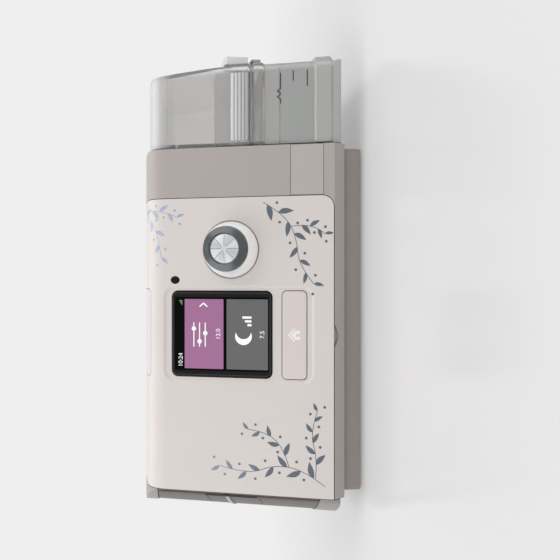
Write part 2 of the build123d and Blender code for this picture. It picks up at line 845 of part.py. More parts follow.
card_notch = 4.0
with BuildPart() as sd_card:
    with BuildSketch(slice_plane.offset(door_middle - card_width / 2)):
        with Locations((card_outer_x + card_length / 2, card_depth + card_thickness / 2)):
            Rectangle(card_length, card_thickness)
    extrude(amount=card_width)
    chamfer(
        sd_card.edges().filter_by(lambda e: abs(e.tangent_at(0.5).dot(slice_plane.y_dir)) > 0.99)
        .group_by(Axis.X)[-1].sort_by(Axis.Z)[-1],
        length=card_notch,
    )
sd_card.part.label = "sd_card"
export_step(sd_card.part, "parts/sd_card.step")

# ------------------------------------------------------------------ screen and light sensor
lens_back = lens_sunk + lens_thickness
with BuildPart() as display_lens:
    with BuildSketch(face.offset(-lens_back)):
        with Locations((screen_x, screen_low + screen_height / 2)):
            RectangleRounded(screen_width, screen_height, screen_corner)
    extrude(amount=lens_thickness)
    chamfer(
        display_lens.faces().sort_by(Axis(origin=(0, 0, 0), direction=face.z_dir))[-1].edges(),
        length=screen_bevel,
    )
display_lens.part.label = "display_lens"
export_step(display_lens.part, "parts/display_lens.step")

lcd_margin = 3.5
module_gap = 0.3
with BuildPart() as display_module:
    with BuildSketch(face.offset(-board_depth)):
        with Locations((screen_x, screen_low + screen_height / 2)):
            Rectangle(screen_width - 2 * lcd_margin, screen_height - 2 * lcd_margin)
    extrude(amount=board_depth - lens_back - module_gap)
display_module.part.label = "display_module"
export_step(display_module.part, "parts/display_module.step")

with BuildPart() as light_sensor_window:
    with BuildSketch(face.offset(-board_depth)):
        with Locations((0, sensor_up)):
            Ellipse(sensor_width / 2, sensor_height / 2)
    extrude(amount=board_depth - lens_sunk)
light_sensor_window.part.label = "light_sensor_window"
export_step(light_sensor_window.part, "parts/light_sensor_window.step")

front_board_width = front_board_right - front_board_left
encoder_bore = shaft_radius + fit_clearance
with BuildPart() as front_board:
    with BuildSketch(face.offset(-board_depth - board_thickness)):
        with Locations(
            ((front_board_left + front_board_right) / 2, (front_board_low + front_board_high) / 2)
        ):
            RectangleRounded(front_board_width, front_board_high - front_board_low, board_corner)
        with Locations((dial_x, dial_up)):
            Circle(encoder_plunger_radius + seam, mode=Mode.SUBTRACT)
    extrude(amount=board_thickness)
front_board.part.label = "front_board"
export_step(front_board.part, "parts/front_board.step")

# ------------------------------------------------------------------ home button
home_middle = home_low + home_height / 2
home_back = home_sunk + home_thickness
switch_front = board_depth - switch_height
plunger_front = switch_front - button_travel - plunger_gap
with BuildPart() as home_button:
    with BuildSketch(face.offset(-home_back)):
        with Locations((button_x, home_middle)):
            RectangleRounded(screen_width, home_height, home_corner)
    extrude(amount=home_thickness)
    fillet(
        home_button.faces().sort_by(Axis(origin=(0, 0, 0), direction=face.z_dir))[-1].edges(),
        radius=home_edge,
    )
    with BuildSketch(face.offset(-plunger_front)):
        with Locations((button_x, home_middle)):
            Circle(stem_radius)
    extrude(amount=plunger_front - home_back)
home_button.part.label = "home_button"
export_step(home_button.part, "parts/home_button.step")


def switch_body(seat, spot):
    """Square tact switch body on its board, with a bore for the plunger."""
    with BuildPart() as body:
        with BuildSketch(seat):
            with Locations(spot):
                Rectangle(switch_size, switch_size)
                Circle(plunger_radius + plunger_gap, mode=Mode.SUBTRACT)
        extrude(amount=switch_height)
    return body.part


def switch_plunger(seat, spot):
    """Round plunger of a tact switch, standing out by its travel."""
    low = switch_height - plunger_height + button_travel + plunger_gap
    with BuildPart() as plunger:
        with BuildSketch(seat.offset(low)):
            with Locations(spot):
                Circle(plunger_radius)
        extrude(amount=plunger_height)
    return plunger.part


home_switch_form = switch_body(face.offset(-board_depth), (button_x, home_middle))
with BuildPart() as home_switch:
    add(home_switch_form)
home_switch.part.label = "home_switch"
export_step(home_switch.part, "parts/home_switch.step")

home_plunger_form = switch_plunger(face.offset(-board_depth), (button_x, home_middle))
with BuildPart() as home_plunger:
    add(home_plunger_form)
home_plunger.part.label = "home_plunger"
export_step(home_plunger.part, "parts/home_plunger.step")

# ------------------------------------------------------------------ start button
top_seat = Plane.XY.offset(top_board_top)
start_stem_low = top_board_top + switch_height + button_travel + plunger_gap
button_outer = body_section()
button_inner = body_section(wall)
with BuildPart() as start_button:
    with BuildSketch(Plane.YZ.offset(button_x - start_width / 2)):
        add(button_outer)
        add(button_inner, mode=Mode.SUBTRACT)
    extrude(amount=start_width)
    with BuildSketch(Plane.XY.offset(top_board_z)):
        with Locations((button_x, start_middle)):
            RectangleRounded(start_width, start_length, start_corner - button_gap)
    extrude(amount=reach, mode=Mode.INTERSECT)
    with BuildSketch(Plane.XY.offset(start_stem_low)):
        with Locations((button_x, start_middle)):
            Circle(stem_radius)
    extrude(amount=crown_inner - wall / 2 - start_stem_low)
start_button.part.label = "start_button"
export_step(start_button.part, "parts/start_button.step")

start_switch_form = switch_body(top_seat, (button_x, start_middle))
with BuildPart() as start_switch:
    add(start_switch_form)
start_switch.part.label = "start_switch"
export_step(start_switch.part, "parts/start_switch.step")

start_plunger_form = switch_plunger(top_seat, (button_x, start_middle))
with BuildPart() as start_plunger:
    add(start_plunger_form)
start_plunger.part.label = "start_plunger"
export_step(start_plunger.part, "parts/start_plunger.step")

with BuildPart() as top_board:
    with BuildSketch(Plane.XY.offset(top_board_z)):
        with Locations((button_x, start_middle)):
            Rectangle(top_board_right - top_board_left, start_length / 2)
    extrude(amount=board_thickness)
top_board.part.label = "top_board"
export_step(top_board.part, "parts/top_board.step")

# ------------------------------------------------------------------ dial
dial_plane = face.shift_origin(face.from_local_coords((dial_x, dial_up, 0)))
dial_foot = -dial_sunk
ring_foot = dial_foot + dial_skirt_height
dial_top = dial_height
shaft_low = -(board_depth - dial_travel)
shaft_top = dial_foot + dial_skirt_height / 2
profile_plane = Plane(
    origin=dial_plane.origin, x_dir=(1, 0, 0), z_dir=dial_plane.x_dir.cross(dial_plane.z_dir)
)
dial_axis = Axis(origin=dial_plane.origin, direction=dial_plane.z_dir)

with BuildPart() as dial_skirt:
    with BuildSketch(profile_plane):
        with BuildLine():
            foot = Line((0, dial_foot), (dial_radius - dial_draw, dial_foot))
            lip = Line(foot @ 1, (dial_radius, dial_foot + dial_draw))
            flank = ThreePointArc(
                lip @ 1,
                (dial_radius - dial_draw, dial_foot + dial_skirt_height / 2),
                (dial_ring_radius, ring_foot),
            )
            Polyline(flank @ 1, (0, ring_foot), (0, dial_foot))
        make_face()
    revolve(axis=dial_axis)
    with BuildSketch(dial_plane.offset(dial_foot)):
        Circle(encoder_bore)
    extrude(amount=shaft_top - dial_foot, mode=Mode.SUBTRACT)
dial_skirt.part.label = "dial_skirt"
export_step(dial_skirt.part, "parts/dial_skirt.step")

with BuildPart() as dial_ring:
    with BuildSketch(profile_plane):
        with BuildLine():
            Polyline(
                (dial_cap_radius, ring_foot),
                (dial_ring_radius, ring_foot),
                (dial_ring_radius - dial_ring_draft, dial_top - dial_ring_bevel),
                (dial_cap_radius + dial_rim_edge, dial_top),
                (dial_cap_radius, dial_top - dial_rim_edge),
                close=True,
            )
        make_face()
    revolve(axis=dial_axis)
dial_ring.part.label = "dial_ring"
export_step(dial_ring.part, "parts/dial_ring.step")

cap_edge = dial_cap_radius - fit_clearance
cap_sphere = (cap_edge**2 + dial_cap_rise**2) / (2 * dial_cap_rise)
with BuildPart() as dial_cap:
    with BuildSketch(profile_plane):
        with BuildLine():
            base = Line((0, ring_foot), (cap_edge, ring_foot))
            side = Line(base @ 1, (cap_edge, dial_top - dial_cap_sunk - dial_cap_rise))
            dome = RadiusArc(side @ 1, (0, dial_top - dial_cap_sunk), -cap_sphere)
            Line(dome @ 1, base @ 0)
        make_face()
    revolve(axis=dial_axis)
dial_cap.part.label = "dial_cap"
export_step(dial_cap.part, "parts/dial_cap.step")

with BuildPart() as dial_shaft:
    with BuildSketch(dial_plane.offset(shaft_low)):
        Circle(shaft_radius)
    extrude(amount=shaft_top - shaft_low)
dial_shaft.part.label = "dial_shaft"
export_step(dial_shaft.part, "parts/dial_shaft.step")

encoder_front = wall + module_gap
with BuildPart() as encoder_body:
    with BuildSketch(dial_plane.offset(-board_depth)):
        Rectangle(encoder_size, encoder_size)
        Circle(encoder_bore, mode=Mode.SUBTRACT)
    extrude(amount=board_depth - encoder_front)
encoder_body.part.label = "encoder_body"
export_step(encoder_body.part, "parts/encoder_body.step")

with BuildPart() as encoder_plunger:
    with BuildSketch(dial_plane.offset(-board_depth)):
        Circle(encoder_plunger_radius)
    extrude(amount=dial_travel)
encoder_plunger.part.label = "encoder_plunger"
export_step(encoder_plunger.part, "parts/encoder_plunger.step")

# ------------------------------------------------------------------ main board
board_top = main_board_z + board_thickness
with BuildPart() as main_board:
    with BuildSketch(Plane.XY.offset(main_board_z)):
        with Locations((board_x, board_y)):
            RectangleRounded(
                main_board_right - main_board_left, main_board_rear - main_board_front, board_corner
            )
    extrude(amount=board_thickness)
main_board.part.label = "main_board"
export_step(main_board.part, "parts/main_board.step")

chip_size = 12.0
chip_height = 1.6
capacitor_radius = 4.0
capacitor_height = 14.0
with BuildPart() as board_parts:
    with BuildSketch(Plane.XY.offset(board_top)):
        with Locations((board_x, board_y), (board_x, board_y - 2 * chip_size)):
            Rectangle(chip_size, chip_size)
    extrude(amount=chip_height)
    with BuildSketch(Plane.XY.offset(board_top)):
        with Locations((board_x, board_y + 2 * chip_size)):
            with GridLocations(3 * capacitor_radius, 0, 3, 1):
                Circle(capacitor_radius)
    extrude(amount=capacitor_height)
board_parts.part.label = "board_parts"
export_step(board_parts.part, "parts/board_parts.step")

radio_width = 14.0
radio_length = 22.0
radio_corner = 1.0
radio_height = 3.2
with BuildPart() as radio_module:
    with BuildSketch(Plane.XY.offset(board_top)):
        with Locations((main_board_right - radio_width / 2 - 1, board_y + chip_size / 2)):
            RectangleRounded(radio_width, radio_length, radio_corner)
    extrude(amount=radio_height)
radio_module.part.label = "radio_module"
export_step(radio_module.part, "parts/radio_module.step")

# ------------------------------------------------------------------ blower
duct_half = volute_outlet / 2
volute_exit = volute_radius + 3 * volute_growth
outlet_side = volute_exit + volute_growth


def volute_outline(inset=0.0):
    """Spiral of four quarter arcs that opens towards +X, about the blower's axis."""
    start_radius = volute_radius - inset
    tongue_y = volute_outlet - outlet_side - inset
    tongue_angle = degrees(asin(tongue_y / start_radius))
    with BuildSketch() as outline:
        with BuildLine():
            first = CenterArc((0, 0), start_radius, tongue_angle, -tongue_angle)
            CenterArc((-volute_growth, 0), start_radius + volute_growth, 0, 90)
            CenterArc((-volute_growth, -volute_growth), start_radius + 2 * volute_growth, 90, 90)
            last = CenterArc((0, -volute_growth), volute_exit - inset, 180, 90)
            Polyline(last @ 1, (volute_exit, (last @ 1).Y), (volute_exit, tongue_y), first @ 0)
        make_face()
    return outline.sketch_local


channel_y = blower_y - outlet_side + duct_half
channel_x = blower_x + volute_exit
spiral = volute_outline()
spiral_hollow = volute_outline(volute_wall)
volute_half = volute_height / 2

with BuildPart() as blower_base:
    with BuildSketch(Plane.XY.offset(volute_low)):
        with Locations((blower_x, blower_y)):
            add(spiral)
    extrude(amount=volute_half)
    with BuildSketch(Plane.XY.offset(volute_low)):
        with Locations(*blower_posts):
            Circle(ear_radius)
        with Locations((blower_x, blower_y)):
            Rectangle(2 * post_spread_x, 2 * ear_radius + post_spread_y)
    extrude(amount=ear_thickness)
    with BuildSketch(Plane.XY.offset(volute_low)):
        for post in blower_posts:
            with Locations((post[0], (post[1] + blower_y) / 2)):
                Rectangle(2 * ear_radius, post_spread_y)
    extrude(amount=ear_thickness)
    with BuildSketch(Plane.XY.offset(volute_low + ear_thickness)):
        with Locations((blower_x, blower_y)):
            add(spiral_hollow)
        with Locations((channel_x, channel_y)):
            Rectangle(4 * volute_wall, volute_outlet - 2 * volute_wall)
    extrude(amount=volute_half, mode=Mode.SUBTRACT)
    with Locations((blower_x, blower_y, volute_low + ear_thickness)):
        Hole(radius=motor_shaft_radius + 1, depth=2 * ear_thickness)
blower_base.part.label = "blower_base"
export_step(blower_base.part, "parts/blower_base.step")

with BuildPart() as blower_cover:
    with BuildSketch(Plane.XY.offset(port_z)):
        with Locations((blower_x, blower_y)):
            add(spiral)
    extrude(amount=volute_half)
    with BuildSketch(Plane.XY.offset(port_z)):
        with Locations((blower_x, blower_y)):
            add(spiral_hollow)
        with Locations((channel_x, channel_y)):
            Rectangle(4 * volute_wall, volute_outlet - 2 * volute_wall)
    extrude(amount=volute_half - volute_wall, mode=Mode.SUBTRACT)
    with Locations((blower_x, blower_y, port_z + volute_half)):
        Hole(radius=eye_radius, depth=2 * volute_wall)
blower_cover.part.label = "blower_cover"
export_step(blower_cover.part, "parts/blower_cover.step")

disc_low = volute_low + ear_thickness + impeller_running_gap
disc_thickness = 1.6
blade_top = port_z + volute_half - volute_wall - impeller_running_gap
blade_middle = (impeller_radius + impeller_hub_radius) / 2
blade_bow = 3.5

with BuildSketch() as blade:
    with BuildLine():
        ThreePointArc((impeller_hub_radius - 1, 0), (blade_middle, blade_bow), (impeller_radius - 0.5, 0))
        offset(amount=blade_thickness / 2, side=Side.BOTH)
    make_face()
blade_outline = blade.sketch_local

with BuildPart() as impeller:
    with BuildSketch(Plane.XY.offset(disc_low)):
        with Locations((blower_x, blower_y)):
            Circle(impeller_radius)
    extrude(amount=disc_thickness)
    with BuildSketch(Plane.XY.offset(disc_low)):
        with Locations((blower_x, blower_y)):
            Circle(impeller_hub_radius)
    extrude(amount=blade_top - disc_low)
    with BuildSketch(Plane.XY.offset(disc_low)):
        with Locations((blower_x, blower_y)):
            with PolarLocations(0, blade_count):
                add(blade_outline)
    extrude(amount=blade_top - disc_low)
    with Locations((blower_x, blower_y, blade_top)):
        Hole(radius=motor_shaft_radius + fit_clearance, depth=volute_height)
impeller.part.label = "impeller"
export_step(impeller.part, "parts/impeller.step")

motor_low = volute_low - motor_height
shaft_sink = 2.0
with BuildPart() as motor_shaft:
    with BuildSketch(Plane.XY.offset(motor_low + shaft_sink)):
        with Locations((blower_x, blower_y)):
            Circle(motor_shaft_radius)
    extrude(amount=blade_top - motor_low - shaft_sink)
motor_shaft.part.label = "motor_shaft"
export_step(motor_shaft.part, "parts/motor_shaft.step")

with BuildPart() as blower_motor:
    with BuildSketch(Plane.XY.offset(motor_low)):
        with Locations((blower_x, blower_y)):
            Circle(motor_radius)
    extrude(amount=motor_height)
    chamfer(blower_motor.edges().group_by(Axis.Z)[0], length=motor_edge)
    with Locations((blower_x, blower_y, volute_low)):
        Hole(radius=motor_shaft_radius + fit_clearance, depth=motor_height - shaft_sink + seam)
blower_motor.part.label = "blower_motor"
export_step(blower_motor.part, "parts/blower_motor.step")

with BuildPart() as blower_mounts:
    with BuildSketch(Plane.XY.offset(post_top)):
        with Locations(*blower_posts):
            Circle(mount_radius)
    extrude(amount=mount_height)
blower_mounts.part.label = "blower_mounts"
export_step(blower_mounts.part, "parts/blower_mounts.step")

with BuildPart() as sound_foam:
    with BuildSketch(Plane.XY.offset(port_z + volute_half)):
        with Locations((blower_x, blower_y)):
            Circle(volute_radius)
            Circle(eye_radius, mode=Mode.SUBTRACT)
    extrude(amount=foam_height)
sound_foam.part.label = "sound_foam"
export_step(sound_foam.part, "parts/sound_foam.step")

liner_end = tub_inner_end - bay_clearance - bay_wall
sensor_right = channel_x + flow_sensor_length
with BuildPart() as flow_sensor:
    with BuildSketch(Plane.YZ.offset(channel_x)):
        with Locations((channel_y, port_z)):
            Circle(duct_half)
            Circle(duct_half - duct_wall, mode=Mode.SUBTRACT)
    extrude(amount=flow_sensor_length)
    with BuildSketch(Plane.XY.offset(port_z + duct_half - duct_wall / 2)):
        with Locations((channel_x + flow_sensor_length / 2, channel_y)):
            Rectangle(flow_sensor_width, flow_sensor_length)
    extrude(amount=flow_sensor_height)
flow_sensor.part.label = "flow_sensor"
export_step(flow_sensor.part, "parts/flow_sensor.step")

with BuildPart() as air_duct:
    with BuildSketch(Plane.YZ.offset(sensor_right)) as duct_start:
        with Locations((channel_y, port_z)):
            Circle(duct_half)
    with BuildSketch(Plane.YZ.offset(liner_end)) as duct_end:
        with Locations((inlet_port_y, port_z)):
            Circle(duct_half)
    loft()
    with BuildSketch(Plane.YZ.offset(sensor_right)):
        with Locations((channel_y, port_z)):
            Circle(duct_half - duct_wall)
    with BuildSketch(Plane.YZ.offset(liner_end)):
        with Locations((inlet_port_y, port_z)):
            Circle(duct_half - duct_wall)
    loft(mode=Mode.SUBTRACT)
air_duct.part.label = "air_duct"
export_step(air_duct.part, "parts/air_duct.step")

# ------------------------------------------------------------------ rear fittings
box_left = filter_left - filter_box_wall
box_right = filter_right + filter_box_wall
box_low = filter_low - filter_box_wall
box_high = filter_high + filter_box_wall
box_front = inner_rear_y - filter_box_depth
with BuildPart() as filter_box:
    with BuildSketch(Plane.XZ.offset(-inner_rear_y)):
        with Locations((filter_x, filter_z)):
            Rectangle(box_right - box_left, box_high - box_low)
    extrude(amount=filter_box_depth)
    with BuildSketch(Plane.XZ.offset(-inner_rear_y)):
        with Locations((filter_x, filter_z)):
            Rectangle(filter_width, filter_height)
    extrude(amount=filter_box_depth - filter_box_wall, mode=Mode.SUBTRACT)
    with BuildSketch(Plane.XZ.offset(-box_front - 2 * filter_box_wall)):
        with Locations((filter_x, filter_high - port_radius - filter_box_wall)):
            Circle(port_radius)
    extrude(amount=3 * filter_box_wall, mode=Mode.SUBTRACT)
filter_box.part.label = "filter_box"
export_step(filter_box.part, "parts/filter_box.step")

filter_rear = inner_rear_y - 1.0
with BuildPart() as air_filter:
    with BuildSketch(Plane.XZ.offset(-filter_rear)):
        with Locations((filter_x, filter_z)):
            RectangleRounded(filter_width - 2 * module_gap, filter_height - 2 * module_gap, filter_corner)
    extrude(amount=filter_thickness)
air_filter.part.label = "air_filter"
export_step(air_filter.part, "parts/air_filter.step")

cover_pivot = (rear_wall_y - cover_knuckle, filter_low + cover_knuckle)
with BuildPart() as filter_cover:
    with BuildSketch(Plane.YZ.offset(filter_left)):
        with Locations(cover_pivot):
            Circle(cover_knuckle)
        with Locations((cover_pivot[0], (cover_pivot[1] + filter_high) / 2)):
            Rectangle(wall, filter_high - cover_pivot[1])
    extrude(amount=filter_width)
    with BuildSketch(Plane.YZ.offset(filter_left - hinge_pin_length - seam)):
        with Locations(cover_pivot):
            Circle(hinge_pin_radius)
    extrude(amount=filter_width + 2 * (hinge_pin_length + seam))
    with BuildSketch(Plane.XZ.offset(-rear_wall_y - wall / 2)):
        with Locations((filter_x, filter_z)):
            with GridLocations(2 * slot_width, 0, slot_count, 1):
                SlotOverall(slot_length, slot_width, rotation=90)
    extrude(amount=2 * wall, mode=Mode.SUBTRACT)
    with BuildSketch(Plane.XZ.offset(-rear_wall_y - wall / 2)):
        with Locations((filter_x, filter_high + cover_grip_rise)):
            Circle(cover_grip_radius)
    extrude(amount=wall, mode=Mode.SUBTRACT)
filter_cover.part.label = "filter_cover"
export_step(filter_cover.part, "parts/filter_cover.step")

with BuildPart() as power_inlet:
    with BuildSketch(Plane.XZ.offset(-rear_wall_y)):
        with Locations((inlet_x, inlet_z)):
            RectangleRounded(inlet_width - seam, inlet_height - seam, inlet_corner)
    extrude(amount=inlet_depth)
    with BuildSketch(Plane.XZ.offset(-rear_wall_y)):
        with Locations((inlet_x, inlet_z)):
            RectangleRounded(socket_width, socket_height, socket_corner)
    extrude(amount=socket_depth, mode=Mode.SUBTRACT)
    with BuildSketch(Plane.XZ.offset(-rear_wall_y + socket_depth)):
        with Locations((inlet_x, inlet_z)):
            with GridLocations(contact_pitch, 0, contact_count, 1):
                Rectangle(contact_width + 2 * fit_clearance, contact_height + 2 * fit_clearance)
    extrude(amount=inlet_depth, mode=Mode.SUBTRACT)
    # short legs that stand the block on the housing floor
    with BuildSketch(Plane.XY.offset(floor_top)):
        with Locations((inlet_x, rear_wall_y - inlet_depth + inlet_foot_inset)):
            Rectangle(inlet_width - inlet_foot_length, inlet_foot_length)
    extrude(amount=inlet_z - inlet_height / 2 - floor_top + inlet_corner)
power_inlet.part.label = "power_inlet"
export_step(power_inlet.part, "parts/power_inlet.step")

with BuildPart() as inlet_contacts:
    with BuildSketch(Plane.XZ.offset(-rear_wall_y + socket_depth - contact_reach)):
        with Locations((inlet_x, inlet_z)):
            with GridLocations(contact_pitch, 0, contact_count, 1):
                Rectangle(contact_width, contact_height)
    extrude(amount=inlet_depth - socket_depth + 2 * contact_reach)
inlet_contacts.part.label = "inlet_contacts"
export_step(inlet_contacts.part, "parts/inlet_contacts.step")

clip_pivot = (clip_pivot_y, clip_pivot_z)
with BuildPart() as retention_clip:
    with BuildSketch(Plane.YZ.offset(inlet_x - clip_width / 2)):
        with Locations(clip_pivot):
            Circle(clip_thickness / 2)
        with Locations((clip_pivot_y, clip_pivot_z + clip_height / 2)):
            Rectangle(clip_thickness, clip_height)
        with Locations((clip_pivot_y + clip_thickness, clip_pivot_z + clip_height - clip_thickness / 2)):
            Rectangle(clip_thickness, clip_thickness)
    extrude(amount=clip_width)
    with BuildSketch(Plane.YZ.offset(inlet_x - clip_width / 2 - clip_gap - clip_ear)):
        with Locations(clip_pivot):
            Circle(hinge_pin_radius)
    extrude(amount=clip_width + 2 * (clip_gap + clip_ear))
retention_clip.part.label = "retention_clip"
export_step(retention_clip.part, "parts/retention_clip.step")

elbow_port_x = liner_end - seal_gap
plate_foot_y = rear_wall_y + outlet_plate_gap
with BuildPart() as air_outlet:
    with BuildSketch(Plane.XZ.offset(-y_back)):
        with Locations((outlet_x, port_z)):
            Circle(outlet_radius)
    extrude(amount=y_back - outlet_port_y)
    with BuildSketch(Plane.YZ.offset(outlet_x)):
        with Locations((outlet_port_y, port_z)):
            Circle(outlet_radius)
    extrude(amount=elbow_port_x - outlet_x)
    with Locations((outlet_x, outlet_port_y, port_z)):
        Sphere(outlet_radius)
    with BuildSketch(Plane.XZ.offset(-plate_foot_y - outlet_plate_thickness)):
        with Locations((outlet_slot_x, port_z)):
            RectangleRounded(outlet_slot_width + 2 * outlet_plate_margin, outlet_plate_z, outlet_plate_corner)
    extrude(amount=outlet_plate_thickness)
    chamfer(air_outlet.edges().group_by(Axis.Y)[-1], length=outlet_plate_edge)
    with BuildSketch(Plane.XZ.offset(-y_back)):
        with Locations((outlet_x, port_z)):
            Circle(outlet_bore_radius)
    extrude(amount=y_back - outlet_port_y, mode=Mode.SUBTRACT)
    with BuildSketch(Plane.YZ.offset(outlet_x)):
        with Locations((outlet_port_y, port_z)):
            Circle(outlet_bore_radius)
    extrude(amount=elbow_port_x - outlet_x, mode=Mode.SUBTRACT)
    with Locations((outlet_x, outlet_port_y, port_z)):
        Sphere(outlet_bore_radius, mode=Mode.SUBTRACT)
air_outlet.part.label = "air_outlet"
export_step(air_outlet.part, "parts/air_outlet.step")

# ------------------------------------------------------------------ humidifier bay
bay_depth = tub_depth + 2 * bay_clearance
bay_height = tub_height + 2 * bay_clearance
bay_corner = tub_corner + bay_clearance
bay_mouth = band_right - bay_mouth_recess
flange_outline = body_section(wall + fit_clearance)
with BuildPart() as bay_liner:
    with BuildSketch(Plane.YZ.offset(liner_end)):
        with Locations(tub_centre):
            RectangleRounded(bay_depth + 2 * bay_wall, bay_height + 2 * bay_wall, bay_corner + bay_wall)
    extrude(amount=bay_mouth - liner_end)
    with BuildSketch(Plane.YZ.offset(bay_mouth - bay_flange)):
        add(flange_outline)
    extrude(amount=bay_flange)
    with BuildSketch(Plane.YZ.offset(liner_end + bay_wall)):
        with Locations(tub_centre):
            RectangleRounded(bay_depth, bay_height, bay_corner)
    extrude(amount=bay_mouth - liner_end, mode=Mode.SUBTRACT)
    with BuildSketch(Plane.YZ.offset(liner_end)):
        with Locations((inlet_port_y, port_z), (outlet_port_y, port_z)):
            Circle(port_radius)
    extrude(amount=bay_wall, mode=Mode.SUBTRACT)
    with BuildSketch(Plane.XY.offset(floor_top)):
        with Locations(heater_spot):
            RectangleRounded(heater_width + 2 * seam, heater_length + 2 * seam, heater_corner)
    extrude(amount=tub_inner_bottom - floor_top, mode=Mode.SUBTRACT)
bay_liner.part.label = "bay_liner"
export_step(bay_liner.part, "parts/bay_liner.step")

with BuildPart() as port_seals:
    with BuildSketch(Plane.YZ.offset(liner_end + bay_wall)):
        with Locations((inlet_port_y, port_z), (outlet_port_y, port_z)):
            Circle(port_seal_radius)
            Circle(port_radius, mode=Mode.SUBTRACT)
    extrude(amount=bay_clearance - seal_gap)
port_seals.part.label = "port_seals"
export_step(port_seals.part, "parts/port_seals.step")

heater_top = tub_inner_bottom - seal_gap
heater_foot = heater_top - heater_thickness
with BuildPart() as heater_plate:
    with BuildSketch(Plane.XY.offset(heater_foot)):
        with Locations(heater_spot):
            RectangleRounded(heater_width, heater_length, heater_corner)
    extrude(amount=heater_thickness)
heater_plate.part.label = "heater_plate"
export_step(heater_plate.part, "parts/heater_plate.step")

with BuildPart() as heater_insulator:
    with BuildSketch(Plane.XY.offset(floor_top)):
        with Locations(heater_spot):
            RectangleRounded(heater_width, heater_length, heater_corner)
    extrude(amount=heater_foot - floor_top)
heater_insulator.part.label = "heater_insulator"
export_step(heater_insulator.part, "parts/heater_insulator.step")

# ------------------------------------------------------------------ humidifier tub
head_proud = tub_head(-rim_proud)
head_bar = tub_head(-bar_proud)
head_bead = tub_head(-bead_proud)
base_slab = slab(-reach, tub_part_z)
lid_slab = slab(lid_bottom, reach)
rim_slab = slab(tub_part_z - rim_height, tub_part_z)
bar_slab = slab(lid_bottom, lid_bottom + bar_height)
bead_slab = slab(bead_low, bead_high)


def ring_round_head(outer, level):
    """Band that stands proud round the tub's head, between two heights."""
    with BuildPart() as ring:
        add(outer)
        add(level, mode=Mode.INTERSECT)
        chamfer(ring.edges().group_by(Axis.Z)[0] + ring.edges().group_by(Axis.Z)[-1], length=rim_edge)
        add(tub_inside, mode=Mode.SUBTRACT)
    return ring.part


rim_ring = ring_round_head(head_proud, rim_slab)
bar_ring = ring_round_head(head_bar, bar_slab)
bead_ring = ring_round_head(head_bead, bead_slab)
lip_root = tub_end - tub_wall / 2


def grip_plan(inset):
    """Plan of the thumb lip, moved inwards by inset: square at the root and swept at its outer edge."""
    with BuildSketch() as plan:
        with Locations((x_right - lip_sweep, (lip_front + lip_rear) / 2)):
            Circle(lip_sweep - inset)
        with Locations((lip_root + reach / 2, (lip_front + lip_rear) / 2)):
            Rectangle(reach, lip_rear - lip_front - 2 * min(inset, lip_thickness), mode=Mode.INTERSECT)
    return plan.sketch


def grip_shell(z_low, z_high, setback, edge):
    """Shell with a closed top, open below, that stands out from the tub's end between two heights."""
    outer = grip_plan(setback)
    inner = grip_plan(setback + lip_thickness)
    with BuildPart() as shell:
        with BuildSketch(Plane.XY.offset(z_low)):
            add(outer)
        extrude(amount=z_high - z_low)
        upper = shell.edges().group_by(Axis.Z)[-1].filter_by(lambda rim: rim.center().X > tub_end)
        chamfer(upper, length=edge)
        with BuildSketch(Plane.XY.offset(z_low)):
            add(inner)
        extrude(amount=z_high - z_low - lip_thickness, mode=Mode.SUBTRACT)
    return shell.part


with BuildPart() as tub_base:
    add(tub_outside)
    add(tub_inside, mode=Mode.SUBTRACT)
    add(base_slab, mode=Mode.INTERSECT)
    add(rim_ring)
    add(bead_ring)
    # ledge under the thumb lip
    add(grip_shell(tub_part_z - ledge_height, tub_part_z, ledge_setback, ledge_edge))
    with BuildSketch(Plane.XY.offset(tub_inner_bottom)):
        with Locations(heater_spot):
            RectangleRounded(
                heat_plate_right - heat_plate_left, heat_plate_rear - heat_plate_front, heat_plate_corner
            )
    extrude(amount=heat_plate_thickness, mode=Mode.SUBTRACT)
tub_base.part.label = "tub_base"
export_step(tub_base.part, "parts/tub_base.step")

with BuildPart() as tub_lid:
    add(tub_outside)
    add(tub_inside, mode=Mode.SUBTRACT)
    add(lid_slab, mode=Mode.INTERSECT)
    with BuildSketch(Plane.YZ.offset(tub_inner_end - 1)):
        with Locations((inlet_port_y, port_z), (outlet_port_y, port_z)):
            Circle(port_radius)
    extrude(amount=1 + 2 * tub_wall, mode=Mode.SUBTRACT)
    add(grip_shell(lid_bottom, lip_top, 0.0, lip_edge))
    add(bar_ring)
tub_lid.part.label = "tub_lid"
export_step(tub_lid.part, "parts/tub_lid.step")

seal_outer = tub_form(seal_inset)
seal_hollow = tub_form(seal_inset + seal_width)
seal_slab = slab(tub_part_z, lid_bottom)
with BuildPart() as tub_seal:
    add(seal_outer)
    add(seal_hollow, mode=Mode.SUBTRACT)
    add(seal_slab, mode=Mode.INTERSECT)
tub_seal.part.label = "tub_seal"
export_step(tub_seal.part, "parts/tub_seal.step")

with BuildPart() as tub_plate:
    with BuildSketch(Plane.XY.offset(tub_inner_bottom)):
        with Locations(heater_spot):
            RectangleRounded(
                heat_plate_right - heat_plate_left - 2 * fit_clearance,
                heat_plate_rear - heat_plate_front - 2 * fit_clearance,
                heat_plate_corner,
            )
    extrude(amount=heat_plate_thickness)
tub_plate.part.label = "tub_plate"
export_step(tub_plate.part, "parts/tub_plate.step")

with BuildPart() as tub_ports:
    with BuildSketch(Plane.YZ.offset(tub_inner_end)):
        with Locations((inlet_port_y, port_z), (outlet_port_y, port_z)):
            Circle(port_radius - fit_clearance)
            Circle(port_radius - duct_wall, mode=Mode.SUBTRACT)
    extrude(amount=tub_wall + tube_length)
tub_ports.part.label = "tub_ports"
export_step(tub_ports.part, "parts/tub_ports.step")
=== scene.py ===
"""Looks of a bedside CPAP machine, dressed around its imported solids.

Frame: +X to the machine's right, +Y to its back, +Z up, origin under its middle, in metres.
"""

